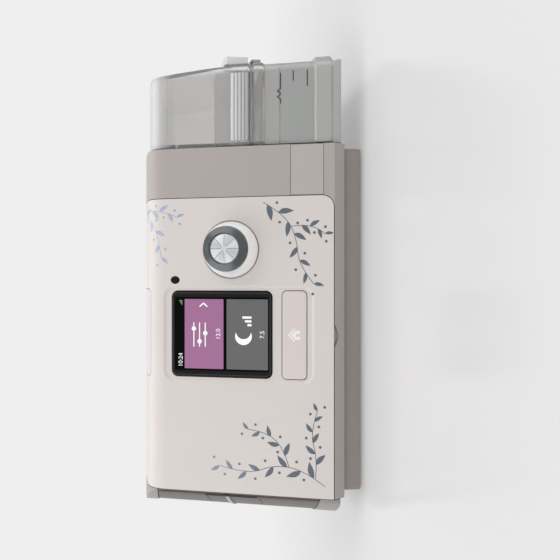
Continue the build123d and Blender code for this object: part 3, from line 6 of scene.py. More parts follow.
import json
import logging
import math
from dataclasses import dataclass
from enum import Enum
from typing import Any, ClassVar, Iterable, Sequence

import bmesh
import bpy
from mathutils import Matrix, Vector

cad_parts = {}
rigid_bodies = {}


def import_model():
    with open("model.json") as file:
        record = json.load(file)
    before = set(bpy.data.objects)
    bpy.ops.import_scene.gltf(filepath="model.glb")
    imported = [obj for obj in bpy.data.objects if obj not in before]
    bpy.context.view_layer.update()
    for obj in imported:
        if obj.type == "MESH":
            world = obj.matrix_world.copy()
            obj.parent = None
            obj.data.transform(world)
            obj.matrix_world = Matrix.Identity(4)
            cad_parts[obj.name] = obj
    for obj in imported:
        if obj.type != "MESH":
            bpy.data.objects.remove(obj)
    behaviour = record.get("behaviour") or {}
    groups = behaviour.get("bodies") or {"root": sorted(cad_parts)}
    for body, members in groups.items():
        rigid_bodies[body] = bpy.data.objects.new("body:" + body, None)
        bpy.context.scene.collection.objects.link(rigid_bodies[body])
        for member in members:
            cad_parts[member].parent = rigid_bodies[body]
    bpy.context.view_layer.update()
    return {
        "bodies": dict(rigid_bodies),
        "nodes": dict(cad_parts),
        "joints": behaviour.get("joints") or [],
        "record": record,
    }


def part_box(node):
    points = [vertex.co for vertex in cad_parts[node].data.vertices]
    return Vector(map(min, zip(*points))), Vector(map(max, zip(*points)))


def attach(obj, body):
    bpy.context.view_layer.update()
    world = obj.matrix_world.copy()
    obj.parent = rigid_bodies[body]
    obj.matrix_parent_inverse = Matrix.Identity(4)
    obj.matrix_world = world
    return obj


LOG = logging.getLogger("cpap_machine")
MM = 0.001

Triple = tuple[float, float, float]
Colour = Triple
Flat = tuple[float, float]
Outline = Sequence[Flat]
Socket = bpy.types.NodeSocket


def tone(red: int, green: int, blue: int) -> Colour:
    """Turns an 8-bit display colour into a linear one.

    Args:
        red: Red share, 0 to 255.
        green: Green share, 0 to 255.
        blue: Blue share, 0 to 255.

    Returns:
        The colour in linear light.
    """
    shares = [value / 255 for value in (red, green, blue)]
    return tuple(s / 12.92 if s <= 0.04045 else ((s + 0.055) / 1.055) ** 2.4 for s in shares)


def grey(share: float) -> Colour:
    """Linear grey of one share."""
    return (share, share, share)


def shifted(colour: Colour, factor: float = 1.0) -> tuple[float, float, float, float]:
    """Lighter or darker version of a colour, with full alpha."""
    return tuple(min(1.0, part * factor) for part in colour) + (1.0,)


# ------------------------------------------------------------------ the housing's outline
@dataclass(frozen=True)
class HousingOutline:
    """Side outline of the housing as a run from the face's lower edge, up the face and over the crown."""

    front: float = -75.0 * MM
    face_bottom: float = 16.0 * MM
    height: float = 116.0 * MM
    tilt: float = math.radians(19.5)
    shoulder_radius: float = 14.0 * MM
    crown_slope: float = math.radians(8.0)
    crown_radius: float = 300.0 * MM

    @property
    def face_length(self) -> float:
        """Length of the flat face up its slope.

        Returns:
            The length.
        """
        shoulder = self.shoulder_radius * (math.cos(self.crown_slope) - math.sin(self.tilt))
        crown = self.crown_radius * (1 - math.cos(self.crown_slope))
        return (self.height - self.face_bottom - shoulder - crown) / math.cos(self.tilt)

    def place(self, across: float, run: float, lift: float = 0.0) -> Vector:
        """Point on the outline.

        Args:
            across: Place along X.
            run: Distance along the outline from the face's lower edge.
            lift: Height above the surface.

        Returns:
            The point in the machine's frame.
        """
        heading = math.pi / 2 - self.tilt
        straight = min(run, self.face_length)
        y = self.front + straight * math.cos(heading)
        z = self.face_bottom + straight * math.sin(heading)
        left = run - straight
        arcs = ((self.shoulder_radius, self.crown_slope), (self.crown_radius, -self.crown_slope))
        for radius, last in arcs:
            if left <= 0:
                break
            turn = min(left / radius, heading - last)
            y += radius * (math.sin(heading) - math.sin(heading - turn))
            z += radius * (math.cos(heading - turn) - math.cos(heading))
            heading -= turn
            left -= turn * radius
        return Vector((across, y - lift * math.sin(heading), z + lift * math.cos(heading)))

    def depth_at(self, z: float, lift: float) -> float:
        """Place along Y, at one height, of the plane that lies a lift above the face."""
        run = (z - self.face_bottom - lift * math.sin(self.tilt)) / math.cos(self.tilt)
        return self.front + run * math.sin(self.tilt) - lift * math.cos(self.tilt)

    def face_matrix(self, across: float, run: float, lift: float = 0.0) -> Matrix:
        """Matrix that lays a flat drawing (x across, y up the slope) on the face.

        Args:
            across: Drawing origin along X.
            run: Drawing origin up the face.
            lift: Height above the face.

        Returns:
            The matrix from the drawing to the machine's frame.
        """
        out = Vector((0, -math.cos(self.tilt), math.sin(self.tilt)))
        up = Vector((0, math.sin(self.tilt), math.cos(self.tilt)))
        matrix = Matrix.Identity(4)
        for column, axis in enumerate((Vector((1, 0, 0)), up, out)):
            matrix.col[column][:3] = axis
        matrix.col[3][:3] = self.place(across, run) + lift * out
        return matrix


OUTLINE = HousingOutline()


# ------------------------------------------------------------------ node trees
@dataclass(frozen=True)
class Zone:
    """Span of heights with a tone of its own."""

    low: float
    high: float
    colour: Colour


class NodeTree:
    """Node tree with short ways to add nodes and to feed them."""

    def __init__(self, tree: bpy.types.NodeTree) -> None:
        """Takes the tree to build in."""
        self.tree = tree

    def fill(self, node: bpy.types.Node, inputs: dict[Any, Any]) -> None:
        """Feeds a node's inputs, each with a value or with a socket to link.

        Args:
            node: The node.
            inputs: Values or sockets by input name or number.
        """
        for key, value in inputs.items():
            if isinstance(value, Socket):
                self.tree.links.new(value, node.inputs[key])
            else:
                node.inputs[key].default_value = value

    def add(self, kind: str, inputs: dict[Any, Any] | None = None, **settings: Any) -> bpy.types.Node:
        """Adds a node.

        Args:
            kind: Full node type.
            inputs: Values or sockets by input name or number.
            **settings: Properties of the node.

        Returns:
            The new node.
        """
        node = self.tree.nodes.new(kind)
        for key, value in settings.items():
            setattr(node, key, value)
        self.fill(node, inputs or {})
        return node

    def calc(self, operation: str, first: Any, second: Any = 0.0) -> Socket:
        """Math node of two values or sockets, and its result socket."""
        return self.add("ShaderNodeMath", {0: first, 1: second}, operation=operation).outputs[0]

    def times(self, first: Any, second: Any) -> Socket:
        """Product of two values or sockets."""
        return self.calc("MULTIPLY", first, second)

    def vector(self, x: Any = 0.0, y: Any = 0.0, z: Any = 0.0) -> Socket:
        """Vector of three values or sockets."""
        return self.add("ShaderNodeCombineXYZ", {"X": x, "Y": y, "Z": z}).outputs[0]

    def parts(self, vector: Socket) -> bpy.types.NodeOutputs:
        """Sockets X, Y and Z of a vector."""
        return self.add("ShaderNodeSeparateXYZ", {0: vector}).outputs


class ShaderTree(NodeTree):
    """Node tree of one material, built around its Principled shader."""

    def __init__(self, name: str) -> None:
        """Starts a material with its Principled shader.

        Args:
            name: The material's name.
        """
        self.material = bpy.data.materials.new(name)
        self.material.use_nodes = True
        super().__init__(self.material.node_tree)
        self.shader = self.tree.nodes["Principled BSDF"]
        self.place = self.add("ShaderNodeTexCoord").outputs["Object"]

    def set(self, values: dict[str, Any]) -> None:
        """Feeds sockets of the Principled shader, by name."""
        self.fill(self.shader, values)

    def remap(self, value: Socket, source: Flat, target: Flat, **settings: Any) -> Socket:
        """Maps a value from one range to another.

        Args:
            value: The value's socket.
            source: Ends of its range.
            target: Ends of the result's range.
            **settings: Properties of the node.

        Returns:
            The result's socket.
        """
        ends = dict(zip(("From Min", "From Max", "To Min", "To Max"), (*source, *target)))
        return self.add("ShaderNodeMapRange", {"Value": value, **ends}, **settings).outputs["Result"]

    def noise(self, patches: float, detail: float = 2.0, stretch: Triple = (1, 1, 1)) -> Socket:
        """Noise over the piece's own coordinates.

        Args:
            patches: Patches per metre.
            detail: Octaves.
            stretch: Scale along each axis.

        Returns:
            The noise's value socket.
        """
        spot = self.add("ShaderNodeMapping", {"Scale": stretch, "Vector": self.place}).outputs["Vector"]
        grain = {"Scale": patches, "Detail": detail, "Vector": spot}
        return self.add("ShaderNodeTexNoise", grain).outputs["Fac"]

    def blend(self, share: Socket, low: Any, high: Any) -> Socket:
        """Mixes two colours or colour sockets by the share of the second."""
        return self.add("ShaderNodeMix", {0: share, 6: low, 7: high}, data_type="RGBA").outputs[2]

    def drift(self, low: float, high: float, patches: float, detail: float = 2.0) -> Socket:
        """Value that drifts over the surface, from the middle of a noise."""
        return self.remap(self.noise(patches, detail), (0.3, 0.7), (low, high))

    def height_share(self, low: float, high: float) -> Socket:
        """Share from 0 to 1 between two heights on the machine."""
        return self.remap(self.parts(self.place)["Z"], (low, high), (0.0, 1.0))

    def zoned(self, colour: Colour, zones: Sequence[Zone], step: float) -> Socket:
        """Tone that changes at set heights; a later zone lies over an earlier one.

        Args:
            colour: Tone outside the zones.
            zones: The zones.
            step: Height over which a tone changes.

        Returns:
            The tone's socket.
        """
        result: Any = shifted(colour)
        for zone in zones:
            rising = self.height_share(zone.low, zone.low + step)
            falling = self.height_share(zone.high, zone.high - step)
            result = self.blend(self.times(rising, falling), result, shifted(zone.colour))
        return result

    def mottle(self, colour: Colour, spread: float, patches: float) -> None:
        """Lets the base colour drift a little over the surface."""
        ends = (shifted(colour, 1 - spread), shifted(colour, 1 + spread))
        self.set({"Base Color": self.blend(self.drift(0, 1, patches), *ends)})

    def wear(self, low: float, high: float, patches: float) -> None:
        """Lets the roughness drift between two values."""
        self.set({"Roughness": self.drift(low, high, patches, detail=4)})

    def relief(self, height: Socket | None, depth: float, edge: float) -> None:
        """Adds surface relief and softly rounded edges.

        Args:
            height: Height socket, or None for rounded edges alone.
            depth: Relief depth in metres.
            edge: Radius of the rounded edges in metres.
        """
        normal = self.add("ShaderNodeBevel", {"Radius": edge}, samples=4).outputs["Normal"]
        if height is not None:
            bump = {"Strength": 1.0, "Distance": depth, "Height": height, "Normal": normal}
            normal = self.add("ShaderNodeBump", bump).outputs["Normal"]
        self.set({"Normal": normal})


# ------------------------------------------------------------------ finishes
class Texture(Enum):
    """Depth of the mould's texture in metres."""

    POLISHED = 0.0
    FINE = 0.006 * MM
    SPARKED = 0.016 * MM


@dataclass(frozen=True)
class Substance:
    """Base of the finishes: one material, shaded in its own way.

    Attributes:
        name: The material's name.
        colour: Its main colour.
    """

    name: str
    colour: Colour

    def make(self) -> bpy.types.Material:
        """Builds the material.

        Returns:
            The material.
        """
        tree = ShaderTree(self.name)
        self.shade(tree)
        return tree.material

    def shade(self, tree: ShaderTree) -> None:
        """Shades the material's tree."""
        raise NotImplementedError


@dataclass(frozen=True)
class Moulding(Substance):
    """Opaque moulded plastic or rubber."""

    roughness: float = 0.42
    texture: Texture = Texture.FINE
    edge: float = 0.3 * MM
    coat: float = 0.0
    specular: float = 0.5
    spread: float = 0.012

    def shade(self, tree: ShaderTree) -> None:
        """Gives tone, drifting gloss, mould texture and rounded edges.

        Args:
            tree: The material's tree.
        """
        tree.set({"Specular IOR Level": self.specular, "Coat Weight": self.coat, "Coat Roughness": 0.06})
        self.tint(tree)
        tree.wear(self.roughness * 0.92, self.roughness * 1.08, patches=90.0)
        grain = None if self.texture is Texture.POLISHED else tree.noise(patches=2600.0, detail=3)
        tree.relief(grain, self.texture.value, self.edge)

    def tint(self, tree: ShaderTree) -> None:
        """Gives the shader its drifting tone."""
        tree.mottle(self.colour, self.spread, patches=34.0)


@dataclass(frozen=True)
class ZonedMoulding(Moulding):
    """Moulded part whose tone changes at set heights."""

    zones: tuple[Zone, ...] = ()
    step: float = 0.1 * MM

    def tint(self, tree: ShaderTree) -> None:
        """Gives the shader its zones' tones."""
        tree.set({"Base Color": tree.zoned(self.colour, self.zones, self.step)})


@dataclass(frozen=True)
class ClearMoulding(Substance):
    """See-through moulded plastic or silicone."""

    roughness: float = 0.06
    clarity: float = 0.85
    ior: float = 1.49
    haze: float = 0.04

    def shade(self, tree: ShaderTree) -> None:
        """Gives transmission with a faint haze and flow lines.

        Args:
            tree: The material's tree.
        """
        tree.set({"Transmission Weight": self.clarity, "IOR": self.ior})
        self.tint(tree)
        tree.wear(self.roughness, self.roughness + self.haze, patches=60.0)
        flow = tree.noise(patches=420.0, stretch=(1, 1, 0.35))
        tree.relief(flow, depth=0.012 * MM, edge=0.5 * MM)

    def tint(self, tree: ShaderTree) -> None:
        """Gives the shader its drifting tint."""
        tree.mottle(self.colour, spread=0.02, patches=26.0)


@dataclass(frozen=True)
class ZonedClear(ClearMoulding):
    """See-through plastic whose tint and milkiness change at set heights; on the tub's base the tints are
    painted shade and reflection.

    Attributes:
        zones: Tints by height, which are painted shade and reflection.
        milk: Clarity by height, as a grey.
        step: Height over which they change.
    """

    zones: tuple[Zone, ...] = ()
    milk: tuple[Zone, ...] = ()
    step: float = 0.5 * MM

    def tint(self, tree: ShaderTree) -> None:
        """Gives the shader its zones' tints and clarity.

        Args:
            tree: The material's tree.
        """
        if self.zones:
            tree.set({"Base Color": tree.zoned(self.colour, self.zones, self.step)})
        else:
            super().tint(tree)
        if self.milk:
            tree.set({"Transmission Weight": tree.zoned(grey(self.clarity), self.milk, self.step)})


@dataclass(frozen=True)
class Metal(Substance):
    """Bare or plated metal with a drawn grain along one axis."""

    roughness: float = 0.3
    grain: Triple = (1.0, 1.0, 1.0)

    def shade(self, tree: ShaderTree) -> None:
        """Gives metal with a drawn grain and drifting gloss.

        Args:
            tree: The material's tree.
        """
        tree.set({"Metallic": 1.0})
        tree.mottle(self.colour, spread=0.05, patches=160.0)
        tree.wear(self.roughness * 0.8, self.roughness * 1.2, patches=220.0)
        drawn = tree.noise(patches=900.0, detail=3, stretch=self.grain)
        tree.relief(drawn, depth=0.004 * MM, edge=0.2 * MM)


@dataclass(frozen=True)
class SpunMetal(Substance):
    """Metal foil turned about an axis on the face, with a painted sheen of lighter and darker wedges round
    it.

    Attributes:
        across: The axis along X.
        run: The axis up the face.
        wedges: How many wedges.
        rings: Turn of the ring wave, radians per metre.
    """

    across: float
    run: float
    wedges: int = 8
    roughness: float = 0.28
    rings: float = 24000.0

    def shade(self, tree: ShaderTree) -> None:
        """Gives a painted sheen, lighter and darker wedge by wedge round the axis, and fine rings.

        Args:
            tree: The material's tree.
        """
        frame = {
            "Location": OUTLINE.place(self.across, self.run),
            "Rotation": (math.pi / 2 - OUTLINE.tilt, 0, 0),
            "Vector": tree.place,
        }
        spot = tree.add("ShaderNodeMapping", frame, vector_type="TEXTURE").outputs["Vector"]
        parts = tree.parts(spot)
        # painted sheen: the base colour turns lighter and darker by wedge round the axis, standing in for
        # light on the cap's facets
        angle = tree.calc("ARCTAN2", parts["Y"], parts["X"])
        swing = tree.calc("SINE", tree.times(angle, self.wedges / 2))
        share = tree.remap(swing, (-1.0, 1.0), (0.0, 1.0))
        sheen = tree.blend(share, shifted(self.colour, 0.86), shifted(self.colour, 1.12))
        tree.set({"Metallic": 1.0, "Base Color": sheen})
        tree.wear(self.roughness * 0.85, self.roughness * 1.2, patches=500.0)
        radius = tree.add("ShaderNodeVectorMath", {0: spot}, operation="LENGTH").outputs["Value"]
        tree.relief(tree.calc("SINE", tree.times(radius, self.rings)), depth=0.002 * MM, edge=0.2 * MM)


@dataclass(frozen=True)
class HeightInkAndPaintedLight(Substance):
    """Tone that changes with height on the machine: the ink of the print, and the painted light on the grip
    ribs.
    """

    high_colour: Colour
    low: float
    high: float

    def shade(self, tree: ShaderTree) -> None:
        """Gives two tones blended by height.

        Args:
            tree: The material's tree.
        """
        share = tree.height_share(self.low, self.high)
        tree.set({"Base Color": tree.blend(share, shifted(self.colour), shifted(self.high_colour))})
        tree.wear(0.3, 0.4, patches=300.0)


@dataclass(frozen=True)
class ScreenLight(Substance):
    """Lit patch of the display behind its glass."""

    glow: float = 0.12

    def shade(self, tree: ShaderTree) -> None:
        """Gives a glassy surface over a faint glow, with the display's fine lines.

        Args:
            tree: The material's tree.
        """
        lines = tree.noise(patches=5200.0, detail=0, stretch=(1, 0.02, 0.02))
        lit = tree.blend(lines, shifted(self.colour, 0.96), shifted(self.colour, 1.04))
        tree.set({"Roughness": 0.12, "Base Color": lit})
        tree.set({"Emission Color": shifted(self.colour), "Emission Strength": self.glow})


@dataclass(frozen=True)
class Fleece(Substance):
    """Felted fibre or open-cell foam."""

    cell: float = 900.0

    def shade(self, tree: ShaderTree) -> None:
        """Gives rough cells with a soft sheen.

        Args:
            tree: The material's tree.
        """
        tree.set({"Roughness": 0.95, "Sheen Weight": 0.3})
        tree.mottle(self.colour, spread=0.12, patches=self.cell)
        tree.relief(tree.noise(self.cell, detail=5), depth=0.2 * MM, edge=0.4 * MM)


@dataclass(frozen=True)
class CircuitBoard(Substance):
    """Solder-masked circuit board with tracks under the mask."""

    copper: Colour

    def shade(self, tree: ShaderTree) -> None:
        """Gives square tracks that show lighter through the mask.

        Args:
            tree: The material's tree.
        """
        tracks = {
            "Scale": 160.0,
            "Mortar Size": 0.06,
            "Color1": shifted(self.colour),
            "Color2": shifted(self.colour, 0.8),
            "Mortar": shifted(self.copper),
            "Vector": tree.place,
        }
        pattern = tree.add("ShaderNodeTexBrick", tracks).outputs["Color"]
        tree.set({"Roughness": 0.35, "Coat Weight": 0.4, "Base Color": pattern})


# heights at which the tub's tint changes, from its skirt to its head; the base's tints by height are painted
# shade, and the greener band under the full line is a painted reflection of the parts inside
SKIRT_LOW = -5.0 * MM
SKIRT_HIGH = 17.4 * MM
PAINTED_REFLECTION_LOW = 25.6 * MM
FULL_LINE = 43.2 * MM
RIM_HIGH = 51.0 * MM
HEAD_LOW = 99.0 * MM
HEAD_HIGH = 140.0 * MM


# the dial's axis, across and up the face
DIAL_ACROSS = 16.2 * MM
DIAL_RUN = 55.7 * MM


class Finish(Enum):
    """Finishes of the machine; each value builds one material."""

    FASCIA = Moulding("warm_white_cover", tone(222, 215, 211), roughness=0.36, edge=0.4 * MM)
    BUTTON = Moulding("warm_white_button", tone(223, 213, 211), roughness=0.34, edge=0.5 * MM)
    BAND = Moulding("taupe_band", tone(176, 168, 164), roughness=0.44)
    BADGE = Moulding("taupe_inlay", tone(185, 178, 174), roughness=0.3)
    PLINTH = Moulding("grey_plinth", tone(152, 145, 142), roughness=0.5, texture=Texture.SPARKED)
    END = ZonedMoulding(
        "light_grey_ends",
        tone(160, 155, 152),
        roughness=0.45,
        zones=(
            Zone(23.2 * MM, 107.3 * MM, tone(112, 107, 104)),
            # painted shade: the near-black band is the shade in the gap beside the card door
            Zone(54.6 * MM, 82.0 * MM, tone(46, 44, 43)),
        ),
    )
    SIDE = Moulding("grey_side", tone(113, 108, 105), roughness=0.5, texture=Texture.SPARKED)
    TAB = Moulding("light_tab", tone(186, 181, 178), roughness=0.45)
    LENS = Moulding("black_window", tone(5, 7, 7), roughness=0.05, texture=Texture.POLISHED, specular=0.23)
    FIELD = Moulding("screen_black", tone(2, 2, 3), roughness=0.2, texture=Texture.POLISHED, specular=0.06)
    # painted highlight: a grey line inside the window's edge stands for light on its bevel
    BEVEL_HIGHLIGHT = Moulding("window_bevel_highlight", tone(66, 64, 63), roughness=0.15, texture=Texture.POLISHED)
    PEARL = Moulding(
        "pearl_skirt", tone(253, 253, 253), roughness=0.16, texture=Texture.POLISHED, coat=0.8, edge=0.4 * MM
    )
    # painted reflection: the chrome ring's base colour is darkened to stand in for the dark surroundings it
    # reflects
    DARKENED_CHROME = Metal("chrome_painted_dark_reflection", tone(90, 93, 95), roughness=0.24)
    SPUN_SILVER = SpunMetal("spun_silver", tone(214, 216, 218), across=DIAL_ACROSS, run=DIAL_RUN)
    CLEAR = ZonedClear(
        "clear_plastic",
        tone(236, 235, 234),
        roughness=0.05,
        milk=(Zone(HEAD_LOW, HEAD_HIGH, grey(0.4)),),
        step=9 * MM,
    )
    CLEAR_BASE = ZonedClear(
        "clear_smoky_plastic_painted_shade",
        tone(230, 229, 228),
        roughness=0.05,
        # painted shade by height, with a painted reflection of the parts inside in the greener band under the
        # full line
        zones=(
            Zone(FULL_LINE, RIM_HIGH, tone(210, 209, 207)),
            Zone(PAINTED_REFLECTION_LOW, FULL_LINE, tone(203, 205, 203)),
            Zone(SKIRT_HIGH, PAINTED_REFLECTION_LOW, tone(214, 215, 213)),
            Zone(SKIRT_LOW, SKIRT_HIGH, tone(223, 222, 221)),
        ),
        milk=(
            Zone(FULL_LINE, RIM_HIGH, grey(0.5)),
            Zone(SKIRT_HIGH, FULL_LINE, grey(0.5)),
            Zone(SKIRT_LOW, SKIRT_HIGH, grey(0.35)),
        ),
    )
    SMOKE = ClearMoulding("smoky_baffle", tone(248, 246, 246), roughness=0.1, clarity=0.3)
    # painted light: the ribs are painted grey below and pale towards the top, standing in for light along the
    # top of the grip bar
    GRIP_RIB_LIGHT = HeightInkAndPaintedLight("grip_ribs_painted_light", tone(178, 178, 180), tone(226, 226, 227), 60 * MM, 69 * MM)
    # painted highlight: a pale skin over the clear lip stands in for the light it catches
    LIP_HIGHLIGHT = Moulding("painted_lip_highlight", tone(232, 233, 233), roughness=0.4, spread=0.03)
    SILICONE = ClearMoulding("milky_silicone", tone(232, 232, 230), roughness=0.4, ior=1.41)
    RUBBER = Moulding("foot_rubber", tone(52, 52, 54), roughness=0.75, texture=Texture.SPARKED)
    ALUMINIUM = Metal("pressed_aluminium", tone(206, 207, 209), roughness=0.35, grain=(1, 8, 1))
    # painted shade: flat dark rays stand for the shade in the grooves between the dial cap's wedges
    GROOVE_SHADE = Metal("painted_groove_shade", tone(112, 115, 118), roughness=0.4)
    STEEL = Metal("bright_steel", tone(186, 186, 188), roughness=0.28, grain=(1, 1, 8))
    # painted shade: flat dark crosses stand for the shade inside the screws' recesses
    RECESS_SHADE = Moulding("painted_recess_shade", tone(24, 24, 26), roughness=0.6)
    CONTACT = Metal("plated_contact", tone(214, 190, 120), roughness=0.25)
    DARK = Moulding("black_moulding", tone(34, 34, 36), roughness=0.5, texture=Texture.SPARKED)
    IMPELLER = Moulding("white_impeller", tone(218, 218, 216), roughness=0.4)
    CARD = Moulding("blue_card", tone(38, 60, 112), roughness=0.4)
    BOARD = CircuitBoard("green_board", tone(28, 92, 58), copper=tone(72, 138, 84))
    FOAM = Fleece("grey_foam", tone(74, 74, 78))
    FILTER = Fleece("white_filter", tone(232, 232, 226), cell=1500.0)
    INK = HeightInkAndPaintedLight("twig_ink", tone(95, 104, 115), tone(176, 186, 208), 48 * MM, 104 * MM)
    WHITE_INK = Moulding("white_ink", tone(246, 244, 242), roughness=0.4, texture=Texture.POLISHED)
    DARK_INK = Moulding("dark_ink", tone(34, 34, 34), roughness=0.4, texture=Texture.POLISHED)
    UPPER_TILE = ScreenLight("upper_tile_light", tone(159, 104, 146))
    LOWER_TILE = ScreenLight("lower_tile_light", tone(97, 97, 97))
    SCREEN_MARK = ScreenLight("screen_mark_light", tone(240, 240, 240), glow=0.25)
    SIGNAL = ScreenLight("signal_light", tone(96, 160, 72), glow=0.2)


class PaintShop:
    """Makes each finish once and hands it out."""

    def __init__(self) -> None:
        """Starts with no finish made."""
        self.made: dict[Finish, bpy.types.Material] = {}

    def get(self, finish: Finish) -> bpy.types.Material:
        """Material of a finish, made on its first use.

        Args:
            finish: The finish.

        Returns:
            Its material.
        """
        if finish not in self.made:
            self.made[finish] = finish.value.make()
        return self.made[finish]

    def coat(self, thing: bpy.types.Object, finish: Finish) -> None:
        """Gives an object one finish."""
        thing.data.materials.clear()
        thing.data.materials.append(self.get(finish))


# ------------------------------------------------------------------ objects and meshes
def put(name: str, data: bpy.types.ID) -> bpy.types.Object:
    """Puts an object in the scene.

    Args:
        name: The object's name.
        data: Its mesh, curve, lamp or camera.

    Returns:
        The object.
    """
    thing = bpy.data.objects.new(name, data)
    bpy.context.scene.collection.objects.link(thing)
    return thing


def frozen(thing: bpy.types.Object) -> bpy.types.Mesh:
    """Turns an object into a plain mesh and removes the object.

    Args:
        thing: A curve, text or mesh with its modifiers.

    Returns:
        Its evaluated mesh.
    """
    graph = bpy.context.evaluated_depsgraph_get()
    mesh = bpy.data.meshes.new_from_object(thing.evaluated_get(graph))
    bpy.data.objects.remove(thing)
    return mesh


def mesh_of(shape: bmesh.types.BMesh, name: str) -> bpy.types.Mesh:
    """Turns an edited shape into a plain mesh and frees the shape.

    Args:
        shape: The edited shape.
        name: The mesh's name.

    Returns:
        The mesh.
    """
    mesh = bpy.data.meshes.new(name)
    shape.to_mesh(mesh)
    shape.free()
    return mesh


def face_up(shape: bmesh.types.BMesh) -> None:
    """Triangulates a flat drawing and turns its faces towards +Z.

    Args:
        shape: The drawing.
    """
    bmesh.ops.triangulate(shape, faces=shape.faces[:])
    for face in shape.faces:
        if face.normal.z < 0:
            face.normal_flip()


# ------------------------------------------------------------------ geometry trees
class GeometryRecipe(NodeTree):
    """Geometry Nodes tree with named sizes that is baked to a plain mesh."""

    def __init__(self, name: str) -> None:
        """Starts an empty tree with a geometry input and output.

        Args:
            name: The tree's name.
        """
        super().__init__(bpy.data.node_groups.new(name, "GeometryNodeTree"))
        for way in ("INPUT", "OUTPUT"):
            self.tree.interface.new_socket("Geometry", in_out=way, socket_type="NodeSocketGeometry")
        self.source = self.add("NodeGroupInput")
        self.sink = self.add("NodeGroupOutput")

    def size(self, name: str, kind: str = "Float") -> Socket:
        """Adds a named input of a kind such as Float or Int, and gives its socket."""
        self.tree.interface.new_socket(name, in_out="INPUT", socket_type=f"NodeSocket{kind}")
        return self.source.outputs[name]

    def sizes(self, *names: str) -> list[Socket]:
        """Adds several named inputs and gives their sockets."""
        return [self.size(name) for name in names]

    def sheet(self, length: Any, width: Any, columns: int = 2, rows: int = 2) -> Socket:
        """Flat grid about the origin."""
        grid = {"Size X": length, "Size Y": width, "Vertices X": columns, "Vertices Y": rows}
        return self.add("GeometryNodeMeshGrid", grid).outputs[0]

    def straight(self, length: Any) -> Socket:
        """Straight curve along X, centred on the origin."""
        ends = {"Start": self.vector(self.times(length, -0.5)), "End": self.vector(self.times(length, 0.5))}
        return self.add("GeometryNodeCurvePrimitiveLine", ends).outputs[0]

    def sweep(self, path: Socket, profile: Socket, **inputs: Any) -> Socket:
        """Mesh of a profile swept along a path."""
        swept = {"Curve": path, "Profile Curve": profile, **inputs}
        return self.add("GeometryNodeCurveToMesh", swept).outputs[0]

    def moved(self, geometry: Socket, along: Any) -> Socket:
        """Geometry moved along X."""
        shift = {"Geometry": geometry, "Translation": self.vector(along)}
        return self.add("GeometryNodeTransform", shift).outputs[0]

    def scatter(self, points: Socket, instance: Socket, **inputs: Any) -> Socket:
        """Puts a copy of a geometry on each point."""
        spread = {"Points": points, "Instance": instance, **inputs}
        return self.add("GeometryNodeInstanceOnPoints", spread).outputs[0]

    def gather(self, parts: Iterable[Socket]) -> Socket:
        """Joins geometries into one.

        Args:
            parts: The geometries.

        Returns:
            The joined geometry.
        """
        joined = self.add("GeometryNodeJoinGeometry")
        for part in parts:
            self.tree.links.new(part, joined.inputs[0])
        return joined.outputs[0]

    def close(self, geometry: Socket, material: bpy.types.Material) -> None:
        """Ends the tree with Realize Instances and Set Material.

        Args:
            geometry: The geometry to end with.
            material: The material it gets.
        """
        real = self.add("GeometryNodeRealizeInstances", {"Geometry": geometry}).outputs[0]
        painted = self.add("GeometryNodeSetMaterial", {"Geometry": real, "Material": material})
        self.fill(self.sink, {0: painted.outputs[0]})

    def bake(self, carrier: bpy.types.Object, sizes: dict[str, Any]) -> bpy.types.Mesh:
        """Runs the tree on an object.

        Args:
            carrier: Object whose geometry goes in; it is removed afterwards.
            sizes: Values of the named inputs.

        Returns:
            The result as a plain mesh.
        """
        modifier = carrier.modifiers.new("recipe", "NODES")
        modifier.node_group = self.tree
        for item in self.tree.interface.items_tree:
            if item.in_out == "INPUT" and item.name in sizes:
                modifier[item.identifier] = sizes[item.name]
        return frozen(carrier)


def carrier_mesh(points: Iterable[Sequence[float]] = ()) -> bpy.types.Object:
    """Object with loose vertices for a geometry tree to start from.

    Args:
        points: Its vertices.

    Returns:
        The object.
    """
    mesh = bpy.data.meshes.new("carrier")
    mesh.from_pydata([tuple(point) for point in points], [], [])
    return put("carrier", mesh)


def carrier_curve(points: Outline) -> bpy.types.Object:
    """Smooth flat curve for a geometry tree to follow.

    Args:
        points: Control points.

    Returns:
        The curve object.
    """
    curve = bpy.data.curves.new("carrier", "CURVE")
    curve.dimensions = "3D"
    curve.resolution_u = 8
    spline = curve.splines.new("NURBS")
    spline.points.add(len(points) - 1)
    for spot, (x, y) in zip(spline.points, points):
        spot.co = (x, y, 0, 1)
    spline.order_u = 3
    spline.use_endpoint_u = True
    return put("carrier", curve)


def rib_row_recipe(material: bpy.types.Material) -> GeometryRecipe:
    """Row of round ribs: Count ribs, Pitch apart along Y, each Length long along X with its Radius.

    Args:
        material: Material of the ribs.

    Returns:
        The recipe; its row is centred on the origin.
    """
    recipe = GeometryRecipe("rib_row")
    count = recipe.size("Count", "Int")
    pitch, length, radius = recipe.sizes("Pitch", "Length", "Radius")
    first = recipe.times(recipe.times(recipe.calc("SUBTRACT", count, 1.0), pitch), -0.5)
    row = {"Count": count, "Start Location": recipe.vector(y=first), "Offset": recipe.vector(y=pitch)}
    spots = recipe.add("GeometryNodeMeshLine", row).outputs[0]
    section = recipe.add("GeometryNodeCurvePrimitiveCircle", {"Resolution": 16, "Radius": radius}).outputs[0]
    rib = recipe.sweep(recipe.straight(length), section, **{"Fill Caps": True})
    recipe.close(recipe.scatter(spots, rib), material)
    return recipe


